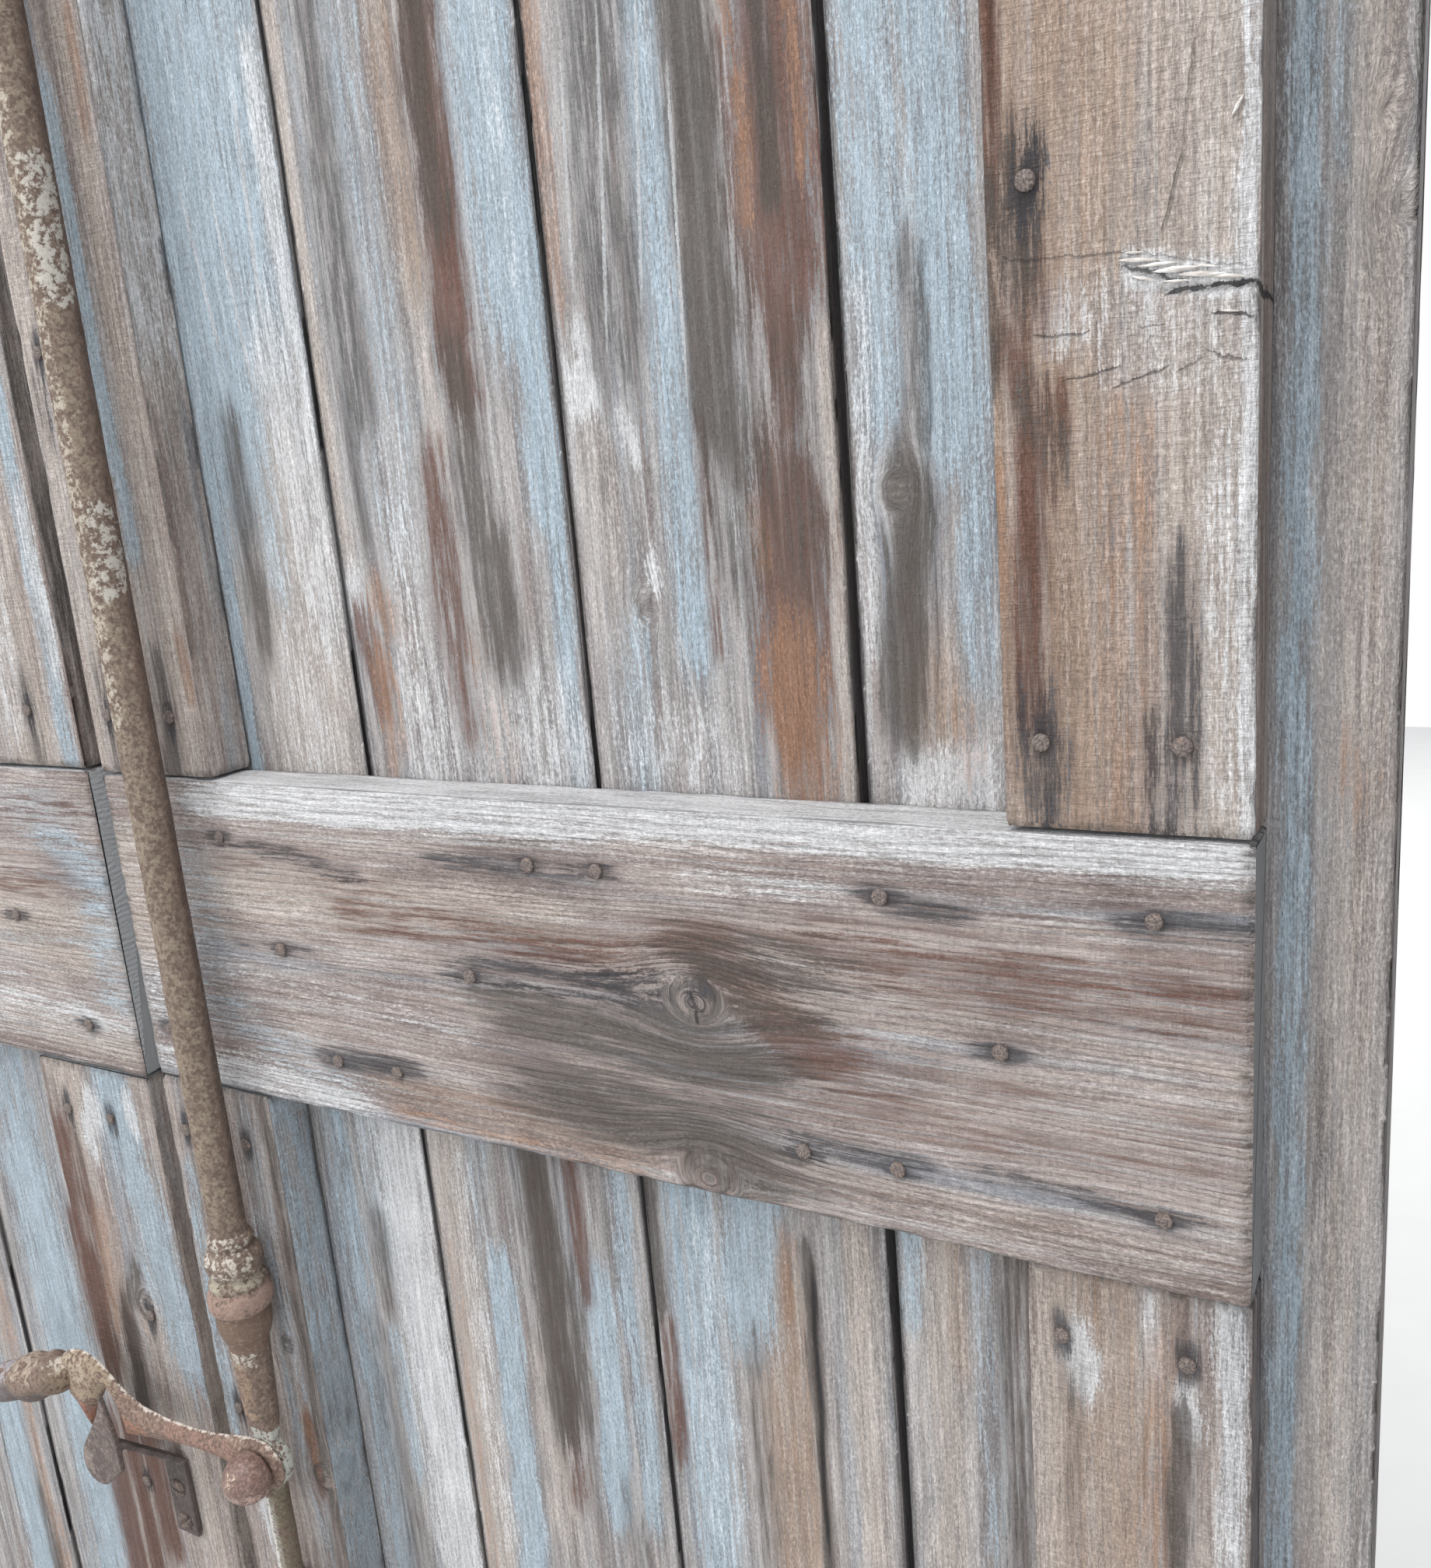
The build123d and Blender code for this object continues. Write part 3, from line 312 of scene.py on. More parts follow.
def share_of_line(across, along, a0, l0, a1, l1):
    """How far along a line each point lies, 0 to 1."""
    run = max((a1 - a0) ** 2 + (l1 - l0) ** 2, 1e-6)
    return np.clip(((across - a0) * (a1 - a0) + (along - l0) * (l1 - l0)) / run, 0, 1)


def streak(across, along, mark):
    """How strongly one mark colours each point: full on its line, fading beside it."""
    a0, l0, a1, l1, half_width, strength = mark
    share = share_of_line(across, along, a0, l0, a1, l1)
    gap_a = across - (a0 + share * (a1 - a0))
    gap_l = along - (l0 + share * (l1 - l0))
    distance = (gap_a ** 2 + (0.4 * gap_l) ** 2) / half_width ** 2
    return strength / (1 + distance ** 2)


def growth_round(knots, across, along, room):
    """Lines of growth that part round each knot. On the room side they close into rings inside
    it; with them come how dark its rings are and how far its wood has shrunk back."""
    growth = across.copy()
    rings = np.zeros_like(across)
    hollow = np.zeros_like(across)
    for knot_a, knot_l, knot_r, darkness in knots:
        pull = np.exp(-((along - knot_l) / (3.4 * knot_r)) ** 2 - ((across - knot_a) / (2.4 * knot_r)) ** 2)
        growth -= (across - knot_a) * 0.85 * pull
        radius = np.hypot((along - knot_l) / 1.25, across - knot_a) / knot_r
        inside = np.clip(1.35 - radius, 0, 1) * room
        growth = growth * (1 - inside) + (knot_a + radius * knot_r * 1.3) * inside
        ring = np.exp(-((radius - 0.95) / 0.28) ** 2)
        rings = np.maximum(rings, room * darkness * (ring + 0.45 * inside))
        hollow += room * (0.7 * np.exp(-((radius - 1.0) / 0.2) ** 2) - 0.5 * np.exp(-(radius / 0.6) ** 2))
    return growth, rings, hollow


def opened(across, along, cracks, splits, seed):
    """Depth of the cracks that run along the grain and of the splits torn across it."""
    depth = np.zeros_like(across)
    for crack_a, crack_l0, crack_l1, slope, width, deep in cracks:
        wander = 1.6 * (uneven(along / 17, along * 0 + 7, seed + 5) - 0.5)
        line = crack_a + slope * (along - crack_l0) + wander
        taper = np.clip(np.minimum(along - crack_l0, crack_l1 - along) / 25, 0, 1)
        depth += deep * taper * np.exp(-((across - line) / width) ** 2)
    ragged = 2.4 * (uneven(across / 5, along / 5, seed + 8) - 0.5)
    for a0, l0, a1, l1, width, deep in splits:
        share = share_of_line(across, along, a0, l0, a1, l1)
        gap = np.hypot(across - a0 - share * (a1 - a0), along - l0 - share * (l1 - l0) + ragged)
        depth += deep * np.exp(-(gap / width) ** 2)
    return depth


def tube_faces(rows, count, turned_over):
    """Faces between the rings of a tube, and the loops of points that close its two ends. The
    loops have points of their own after the tube's, so that end grain keeps its colour."""
    first = np.arange(rows - 1)[:, None] * count
    here = np.arange(count)[None]
    beyond = (here + 1) % count
    faces = [first + here, first + beyond, first + count + beyond, first + count + here]
    faces = np.stack(faces, -1).reshape(-1, 4)
    if turned_over:
        faces = faces[:, ::-1]
    faces = faces.tolist()
    near_end = list(range(rows * count, (rows + 1) * count))
    far_end = list(range((rows + 1) * count, (rows + 2) * count))
    faces.append(near_end if turned_over else near_end[::-1])
    faces.append(far_end[::-1] if turned_over else far_end)
    return faces


def new_mesh(name, points, faces, finish):
    mesh = bpy.data.meshes.new(name)
    mesh.from_pydata((np.asarray(points) * MM).tolist(), [], faces)
    mesh.materials.append(finish)
    mesh.shade_smooth()
    mesh.update()
    return mesh


def add_values(mesh, name, kind, values):
    """Give each point of a mesh a value, a vector or a colour for its finish to read."""
    attribute = mesh.attributes.new(name, kind, "POINT")
    channel = {"FLOAT": "value", "FLOAT_VECTOR": "vector", "FLOAT_COLOR": "color"}[kind]
    attribute.data.foreach_set(channel, np.asarray(values, np.float32).ravel())


def new_piece(mesh, body, slot, *replaced):
    name = mesh.name.split(".")[0]
    piece = set_up(name + "_wood" if name in nodes else name, mesh)
    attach(piece, body)
    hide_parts(*replaced)
    return piece


def timber(name, corners, steps, ends, standing, finish, fine=(), spacing=7.0, relief=0.5,
           knots=(), cracks=(), splits=(), marks=(), nails=(), busy=8, plain_window=None,
           arris=1.4, painted_top_light=0.0):
    """A length of old timber. Its section is drawn as (across, Y), the room side first, from the
    lowest across; it lies along Z when standing, else along X. Wear only takes wood away."""
    seed = sum(ord(letter) * (index + 3) for index, letter in enumerate(name))
    dice = np.random.default_rng(seed)
    beside_cracks = [crack[0] + step for crack in cracks for step in (-1.6, -0.8, 0.0, 0.8, 1.6)]
    section, reach = section_points(corners, steps, arris, beside_cracks)
    low, high = ends
    stations = places_along(low, high, spacing, fine)
    tangent = np.roll(section, -1, axis=0) - np.roll(section, 1, axis=0)
    tangent /= np.linalg.norm(tangent, axis=1)[:, None]
    outward = np.stack([tangent[:, 1], -tangent[:, 0]], 1)
    count, rows = len(section), len(stations)
    across = np.repeat(section[None, :, 0], rows, 0)
    depth = np.repeat(section[None, :, 1], rows, 0)
    along = np.repeat(stations[:, None], count, 1)
    room = np.repeat((outward[:, 1] < -0.6)[None], rows, 0)
    outdoors = np.repeat((outward[:, 1] > 0.6)[None], rows, 0)
    corner_gap = np.repeat(reach[None], rows, 0)
    end_gap = np.minimum(along - low, high - along)
    side_shift = np.where(room, 0.0, np.where(outdoors, 300.0, 600.0)) + seed % 97

    growth, rings, hollow = growth_round(knots, across, along, room)
    wear = 0.10 + relief * uneven(growth / 5 + side_shift, along / 70, seed)
    wear += 0.35 * relief * uneven(growth / 2.2 + side_shift, along / 26, seed + 1)
    wear += 0.5 * relief * uneven(across / 45 + side_shift, along / 160, seed + 2)
    nick = np.clip(uneven(along / 11, side_shift + across / 30, seed + 3) - 0.52, 0, 1)
    wear += np.exp(-(corner_gap / (1.3 * arris)) ** 2) * arris * (0.18 + 2.3 * nick)
    wear = np.maximum(wear + 0.5 * hollow, 0.0)
    wear += opened(across, along, cracks, splits, seed) * room
    wear += 0.9 * np.exp(-(end_gap / 1.1) ** 2)
    across = across - outward[None, :, 0] * wear
    depth = depth - outward[None, :, 1] * wear

    # random marks first, then those seen, then what nails, knots and sawn ends draw
    paint = {kind: np.zeros_like(across) for kind in MARK_KINDS}
    wobble = across + 2.2 * (uneven(along / 22, across / 40, seed + 6) - 0.5)
    bare = 0.0
    if plain_window:
        inside = np.minimum(along - plain_window[0], plain_window[1] - along)
        inside = inside + WINDOW_FRAY * uneven(across / 6, along / 90, seed + 7)
        bare = room * np.clip(1 + inside / 40, 0, 1)
    for face in (room, outdoors | ~room):
        for _ in range(busy):
            kind = RANDOM_KINDS[dice.integers(len(RANDOM_KINDS))]
            middle_a = dice.uniform(section[:, 0].min(), section[:, 0].max())
            middle_l = dice.uniform(low, high)
            run = dice.uniform(60, 420)
            mark = (middle_a, middle_l - run / 2, middle_a + dice.uniform(-5, 5), middle_l + run / 2,
                    dice.uniform(3, 14), dice.uniform(0.35, 0.8))
            paint[kind] = np.maximum(paint[kind], streak(wobble, along, mark) * face * (1 - bare))
    for kind, *mark in marks:
        paint[kind] = np.maximum(paint[kind], streak(wobble, along, mark) * room)
    # painted highlight: faces turned upwards are whitened, most on the middle rail, as if lit from above
    facing_up = np.clip(outward[None, :, 0] * 1.6, 0, 1)
    bleach_and_top_light = painted_top_light * facing_up * (0.75 + 0.25 * uneven(along / 30, depth / 8, seed + 9))
    paint["white"] = np.maximum(paint["white"], bleach_and_top_light)
    for nail_a, nail_l in nails:
        drip = 26 if standing else 8
        halo = streak(across, along, (nail_a, nail_l - 0.5, nail_a, nail_l + 0.5, 3.6, 0.9))
        run = streak(wobble, along, (nail_a, nail_l, nail_a, nail_l - drip, 2.6, 0.4))
        paint["stain"] = np.maximum(paint["stain"], room * halo)
        paint["dark"] = np.maximum(paint["dark"], room * run)
    paint["dark"] = np.maximum(paint["dark"], np.clip(rings, 0, 1))
    paint["dark"] = np.maximum(paint["dark"], 0.5 * np.exp(-(end_gap / 4) ** 2))

    points = np.stack((across, depth, along) if standing else (along, depth, across), -1)
    grain = np.stack([growth + side_shift, depth, along + seed % 53 * 10.0], -1)
    points, grain = ([*values, values[0], values[-1]] for values in (points, grain))
    mesh = new_mesh(name, np.concatenate(points), tube_faces(rows, count, not standing), finish)
    add_values(mesh, "grain", "FLOAT_VECTOR", np.concatenate(grain))
    add_values(mesh, "sawn", "FLOAT", np.repeat([0.0, 1.0], [rows * count, 2 * count]))
    for group, kinds in (("paint", PAINT_KINDS), ("wear", WEAR_KINDS)):
        values = np.stack([paint[kind].ravel() for kind in kinds], -1)
        add_values(mesh, group, "FLOAT_COLOR", np.concatenate([values, np.zeros((2 * count, 4))]))
    return mesh


WOOD_LAYERS = (
    # kind, colour, most that it covers, how much it hides instead of tinting
    ("beige", shade(200, 187, 177), 0.80, 0.3), ("tan", shade(170, 143, 121), 0.85, 0.3),
    ("blue", shade(174, 193, 206), 0.92, 0.7), ("white", shade(224, 225, 227), 0.9, 0.7),
    ("rust", shade(100, 64, 50), 0.92, 0.25), ("orange", shade(166, 126, 98), 0.62, 0.3),
    ("dark", shade(84, 78, 73), 0.9, 0.2), ("stain", shade(58, 57, 62), 0.9, 0.15),
)


def within(wire, low, high, soft):
    """1 between two heights or distances, fading to 0 over soft beyond them; None leaves an end open."""
    inside = 1.0
    if low is not None:
        inside = (wire - (low - soft)).rise(0.0, soft) * inside
    if high is not None:
        inside = ((high + soft) - wire).rise(0.0, soft) * inside
    return inside


def maths(start, operation, first, second=0.0, held=False):
    """One sum that the signs of Wire don't cover; held keeps the answer from 0 to 1."""
    return start.node("ShaderNodeMath", {"operation": operation, "use_clamp": held}, {0: first, 1: second})


def scored(start, x, z, lines):
    """How strong scratches or cracks are, each (X, Z, X, Z, half width, strength) in the shared frame."""
    deepest = 0
    for x0, z0, x1, z1, width, strength in lines:
        dx, dz = x1 - x0, z1 - z0
        run = dx * dx + dz * dz
        share = maths(start, "MULTIPLY", (x - x0) * dx + (z - z0) * dz, 1.0 / run, held=True)
        gap_x, gap_z = x - x0 - share * dx, z - z0 - share * dz
        ends = 0.25 + (share * (1 - share) * 4.0).rise(0.0, 0.6) * 0.75
        gap = gap_x * gap_x + gap_z * gap_z
        cut = (1 - (gap * (1.0 / width ** 2) - ends + 0.6).rise(0.0, 0.9)) * strength
        deepest = maths(start, "MAXIMUM", deepest, cut)
    return deepest


def mark_masks(start):
    """How strongly each kind of mark covers a place, read from a timber's own points."""
    masks = {}
    for group, kinds in (("paint", PAINT_KINDS), ("wear", WEAR_KINDS)):
        read = start.node("ShaderNodeAttribute", {"attribute_name": group})
        split = start.node("ShaderNodeSeparateColor", None, {0: read}).socket.node
        channels = [Wire(start.tree, one) for one in split.outputs]
        channels.append(Wire(start.tree, read.socket.node.outputs["Alpha"]))
        masks.update(zip(kinds, channels))
    return masks


def weathered_wood(name, dull, pale, line_pitch, line_strength, scratches=(), cracks=(), cloudy=0.1,
                   ripple=0.0):
    """Old pine: streaked grey-brown fibres, remains of pale-blue paint, rust-brown and dark marks."""
    finish, start = start_finish(name)
    grain = start.node("ShaderNodeAttribute", {"attribute_name": "grain"}, None, 1)
    sawn = start.node("ShaderNodeAttribute", {"attribute_name": "sawn"}, None, 2)
    growth, deep, _ = grain.parts()
    x, _, z = place_in_object(start).parts()

    # unevenness drawn out along the grain, from single fibres to broad clouds
    fibres = (grain * (1.0, 1.0, 0.05)).noise(1.0, 4.0, 0.7).rise(0.28, 0.72)
    fuzz = (grain * (1.0, 1.0, 0.33)).noise(1.7, 3.0, 0.75).rise(0.3, 0.7)
    bands = (grain * (1.0, 1.0, 0.045)).noise(0.17, 4.0, 0.6)
    ragged = (grain * (1.0, 0.6, 0.09)).noise(0.36, 5.0, 0.7)
    clouds = (grain * (1.0, 0.5, 0.25)).noise(0.035, 3.0)
    tints = (grain * (1.0, 0.7, 0.06)).noise(0.085, 3.0, 0.6)
    brushed = (grain * (1.0, 0.8, 0.016)).noise(0.55, 3.0, 0.6)
    figure = (grain * (0.5, 0.5, 0.3)).noise(0.05, 4.0, 0.6, 0.5)
    drift = (grain * (1.0, 1.0, 0.12)).noise(0.06, 2.0)
    # fine checks and saw ripple run across the grain
    checks = (grain * (0.28, 1.0, 1.1)).noise(1.3, 3.0, 0.6).rise(0.55, 0.72)
    wavy = (grain * (0.16, 0.3, 1.0)).noise(0.85, 4.0, 0.6, 0.6).rise(0.36, 0.62)
    # hard late wood, one line for each year
    phase = (growth + drift * 14.0 + fibres * 0.5) * (2 * math.pi / line_pitch)
    late = (maths(start, "SINE", phase) * 0.5 + 0.5) ** 2.5
    late = late * (0.35 + bands.rise(0.3, 0.7) * 0.65)

    # bare wood, with browner and greyer stretches
    colour = mixed(start, (bands * (1 - cloudy) + figure * cloudy).rise(0.36, 0.64), dull, pale)
    colour = mixed(start, tints.rise(0.5, 0.72) * 0.6, colour, shade(136, 115, 107))
    colour = mixed(start, (1 - tints).rise(0.52, 0.72) * 0.6, colour, shade(152, 163, 175))
    colour = mixed(start, brushed.rise(0.5, 0.7) * 0.45, colour, shade(206, 205, 206))

    # paint lies over the wood in torn flakes, and rust and damp have soaked in along the fibres
    masks = mark_masks(start)
    veil = (ragged * 0.65 + fibres * 0.2 + fuzz * 0.15).rise(0.3, 0.72)
    for kind, tint, most, hiding in WOOD_LAYERS:
        mask = masks[kind]
        here = mask.rise(0.02, 0.3)
        if kind in PAINT_KINDS:
            soft = mask.rise(0.04, 0.95) * (0.45 + veil * 0.55)
        else:
            soft = (mask + veil * 0.85 - 0.6).rise(0.08, 0.56) * here * (0.8 + veil * 0.2)
        torn = (mask * 0.95 + veil * 0.75 - 0.45).rise(0.22, 0.75)
        amount = (soft * (1 - hiding) + torn * here * hiding) * most
        if kind == "blue":
            painted = amount
        colour = mixed(start, amount, colour, tint)
    bleach_and_top_light = (brushed * 0.7 + fuzz * 0.3 + fibres * 0.15).rise(0.5, 0.85)
    bare = (1 - masks["stain"]) * (1 - masks["dark"] * 0.8) * (1 - masks["rust"] * 0.8)
    colour = mixed(start, bleach_and_top_light * bare * 0.3, colour, shade(214, 213, 213))

    # scratches, open cracks and the dirt in the joints between the boards
    if scratches:
        bright = scored(start, x + (fuzz - 0.5) * 0.5, z, scratches)
        colour = mixed(start, bright * 0.7, colour, shade(204, 206, 208))
    open_crack = 0
    if cracks:
        shift = place_in_object(start).noise(0.16, 3.0, 0.6) - 0.5
        open_crack = scored(start, x + shift * 2.5, z + shift * 4.0 + (fuzz - 0.5) * 0.4, cracks)
        colour = mixed(start, open_crack * 0.9, colour, shade(44, 42, 45))
    between_edges = within(x * x, 1600.0, 225000.0, 1200.0)
    dirt = within(deep, 1.8, 19.2, 1.2) * between_edges
    colour = mixed(start, dirt * 0.8, colour, shade(52, 50, 54))
    value = 0.54 + fibres * 0.4 + fuzz * 0.46 + clouds * 0.25
    value = value - late * line_strength - checks * 0.13 - wavy * ripple * 0.3
    colour = value.over(colour, 1.0, "MULTIPLY")

    # sawn ends show the year rings round the pith, which lies beside the timber
    from_pith = grain * (1.0, 1.0, 0.0) + (-40.0, 60.0, 0.0)
    pith_gap = start.node("ShaderNodeVectorMath", {"operation": "LENGTH"}, {0: from_pith}, 1)
    rings = maths(start, "SINE", pith_gap * 2.4 + ragged * 3.0) * 0.5 + 0.5
    # the ends' pale tone is partly bleached end grain and partly painted light, paler than the wood as if
    # the end faces were lit from the side
    end_grain_and_painted_light = mixed(start, rings * 0.5 + fuzz * 0.5, shade(204, 207, 210), shade(232, 234, 236))
    colour = mixed(start, sawn, colour, end_grain_and_painted_light)

    height = fibres * 0.45 + fuzz * 0.32 + bands * 0.6 + painted * 0.12 - late * line_strength * 3.0
    height = height + rings * sawn * 0.4 - checks * 0.15 - wavy * ripple * 1.3 - open_crack * 2.0
    end_finish(start, colour, 0.92 - painted * 0.2, height, 0.0013, 0.85)
    return finish


# Thin pale scratches of the first and third board: top X and Z, bottom X and Z, half width, strength
SCRATCHES = (
    (85, 1060, 93, 998, 0.9, 1.0), (101, 1056, 108, 980, 0.9, 1.0), (121, 1090, 117, 1006, 1.0, 1.0),
    (130, 1076, 127, 1030, 0.8, 1.0), (262, 1070, 258, 1000, 0.6, 1.0), (277, 1080, 269, 980, 0.7, 1.0),
    (291, 1080, 283, 990, 0.7, 1.0), (300, 1060, 297, 960, 0.6, 1.0), (286, 890, 294, 850, 0.7, 1.0),
    (276, 860, 278, 845, 0.7, 1.0), (264, 680, 264, 560, 0.5, 1.0))
# Open cracks of the upper hinge stile and of the middle rail, written in the same way
STILE_CRACK_LINES = (
    (448.4, 974.3, 458.1, 974.7, 0.55, 0.9), (458.1, 974.7, 469.3, 974.7, 0.5, 1.0),
    (469.3, 974.7, 470.8, 970.4, 0.5, 1.0), (438.4, 982.0, 453.3, 976.1, 0.45, 0.75),
    (406.9, 987.5, 438.5, 985.1, 0.3, 0.45), (438.5, 985.1, 467.5, 978.2, 0.3, 0.35),
    (459.3, 968.6, 468.8, 966.6, 0.4, 0.85), (414.5, 967.5, 429.2, 967.4, 0.35, 0.65),
    (442.0, 967.3, 448.3, 967.4, 0.3, 0.5), (458.1, 959.6, 467.7, 956.6, 0.32, 0.6),
    (422.3, 955.7, 436.8, 957.9, 0.35, 0.7), (434.8, 952.6, 448.9, 956.9, 0.32, 0.7),
    (450.7, 954.9, 456.9, 957.9, 0.3, 0.5), (455.1, 1029.7, 452.7, 1006.5, 0.5, 0.3),
    (452.7, 1006.5, 447.8, 988.5, 0.55, 0.5))
RAIL_CRACK_LINES = (
    (292, 770, 293.5, 764, 0.7, 0.8), (293.5, 764, 293, 758, 0.6, 0.8), (290, 766, 296, 763, 0.4, 0.6))
board_finish = weathered_wood("weathered board paint", shade(137, 132, 131), shade(186, 181, 179), 6.5,
                              0.06, scratches=SCRATCHES)
rail_finish = weathered_wood("weathered rail pine", shade(130, 115, 110), shade(188, 175, 169), 2.6, 0.2,
                             cracks=RAIL_CRACK_LINES, cloudy=0.6, ripple=0.2)
framing_finish = weathered_wood("weathered stile pine", shade(141, 126, 119), shade(199, 186, 178), 3.0,
                                0.16, cracks=STILE_CRACK_LINES, cloudy=0.3, ripple=0.28)
frame_finish = weathered_wood("weathered frame pine", shade(142, 136, 134), shade(184, 179, 176), 4.6, 0.12)


def node_box(name):
    """Lowest and highest corner of a CAD node, in millimetres."""
    low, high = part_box(name)
    return tuple(low / MM), tuple(high / MM)


def plain_section(low, high, room_y, back_y):
    return [(low, room_y), (high, room_y), (high, back_y), (low, back_y)]


def stopped_section(low, high, room_y, back_y, stop_y, stop_edge):
    """Section of a sill or head: the full depth, and a stop on the room side, drawn as (Z, Y)."""
    if stop_edge > high:
        return [(low, room_y), (stop_edge, room_y), (stop_edge, stop_y), (high, stop_y), (high, back_y),
                (low, back_y)]
    return [(stop_edge, room_y), (high, room_y), (high, back_y), (low, back_y), (low, stop_y),
            (stop_edge, stop_y)]


def finished_mesh(shell, name):
    """The mesh of a bmesh that has been worked on."""
    mesh = bpy.data.meshes.new(name)
    shell.to_mesh(mesh)
    shell.free()
    return mesh


def carried_out(worked, all_layers=False):
    """An object's mesh with its modifiers carried out."""
    ready = bpy.context.evaluated_depsgraph_get()
    return bpy.data.meshes.new_from_object(worked.evaluated_get(ready), depsgraph=ready,
                                           preserve_all_data_layers=all_layers)


def bored(piece, holes, radius, depth):
    """Drill a piece right through along X at each of the holes, (Y, Z)."""
    drill = bmesh.new()
    side = piece.data.vertices[0].co.x
    for y, z in holes:
        place = Matrix.Translation((side, y * MM, z * MM)) @ Matrix.Rotation(math.pi / 2, 4, "Y")
        bmesh.ops.create_cone(drill, cap_ends=True, segments=24, radius1=radius * MM, radius2=radius * MM,
                              depth=depth * MM, matrix=place)
    cutter = set_up("drill", finished_mesh(drill, "drill"))
    cut = piece.modifiers.new("fixing holes", "BOOLEAN")
    cut.operation = "DIFFERENCE"
    cut.solver = "EXACT"
    cut.use_hole_tolerant = True
    cut.object = cutter
    whole = carried_out(piece, all_layers=True)
    piece.modifiers.remove(cut)
    bpy.data.objects.remove(cutter)
    whole.name = piece.data.name
    piece.data = whole


SILL_HEIGHT = 45.0
STOP_FACE = -0.5
TENON_Y = (-31.5, -5.5)
TENON_SHOULDER = 6.0
TENON_LAP = 2.0                 # how far a tenon starts inside its own sill or head
FIXING_HOLES = ((-18.5, 239.0), (-18.5, 1289.0))    # Y and Z
FIXING_RADIUS = 5.5
DRILL_LENGTH = 160.0
for name in ("frame_left_jamb", "frame_right_jamb"):
    low, high = node_box(name)
    corners = plain_section(low[0], high[0], low[1], high[1])
    mesh = timber(name, corners, (2.6, 3.4, 3.4, 3.4), (low[2], high[2]), True, frame_finish,
                  busy=14, relief=0.7)
    jamb = new_piece(mesh, "frame", "frame_wood", name)
    bored(jamb, FIXING_HOLES, FIXING_RADIUS, DRILL_LENGTH)
shoulder = node_box("frame_right_jamb")[0][0]
for name in ("frame_sill", "frame_head"):
    low, high = node_box(name)
    if name == "frame_sill":
        corners = stopped_section(low[2], SILL_HEIGHT, low[1], high[1], STOP_FACE, high[2])
        tenon_z = (low[2] + TENON_SHOULDER, SILL_HEIGHT - TENON_SHOULDER)
    else:
        corners = stopped_section(high[2] - SILL_HEIGHT, high[2], low[1], high[1], STOP_FACE, low[2])
        tenon_z = (high[2] - SILL_HEIGHT + TENON_SHOULDER, high[2] - TENON_SHOULDER)
    mesh = timber(name, corners, (3.0,) * 6, (-shoulder, shoulder), False, frame_finish, busy=14,
                  relief=0.7)
    new_piece(mesh, "frame", "frame_wood", name)
    for side, sign in (("left", -1), ("right", 1)):
        reach = sorted((sign * (shoulder - TENON_LAP), sign * (high[0] - 0.05)))
        mesh = timber(f"{name}_tenon_{side}", plain_section(*tenon_z, *TENON_Y), (5.0,) * 4, reach, False,
                      frame_finish, busy=2, relief=0.1, arris=0.5)
        new_piece(mesh, "frame", "frame_wood")

# Each leaf's outdoor layer is five upright pine boards, tongued and grooved, with open joints.
# The pale-blue paint is worn to streaks, and the wood has gone grey, red-brown and dark.
MIDDLE = 764.0                  # the middle rail's middle
SEEN_BELOW, SEEN_ABOVE = -345.0, 380.0              # of the boards, from the middle
LEFT_SEEN_ABOVE = -70.0
BOARD_FACE, BOARD_BACK = 0.0, 21.0
TONGUE_FRONT, TONGUE_BACK = 7.5, 13.5
TONGUE_LENGTH = 6.0
TONGUE_PLAY = 0.3
CLOSE_JOINT, OPEN_JOINT = 1.0, 2.6
OPEN_JOINTS = (("right", 3), ("left", 2))           # on the hinge side of these boards
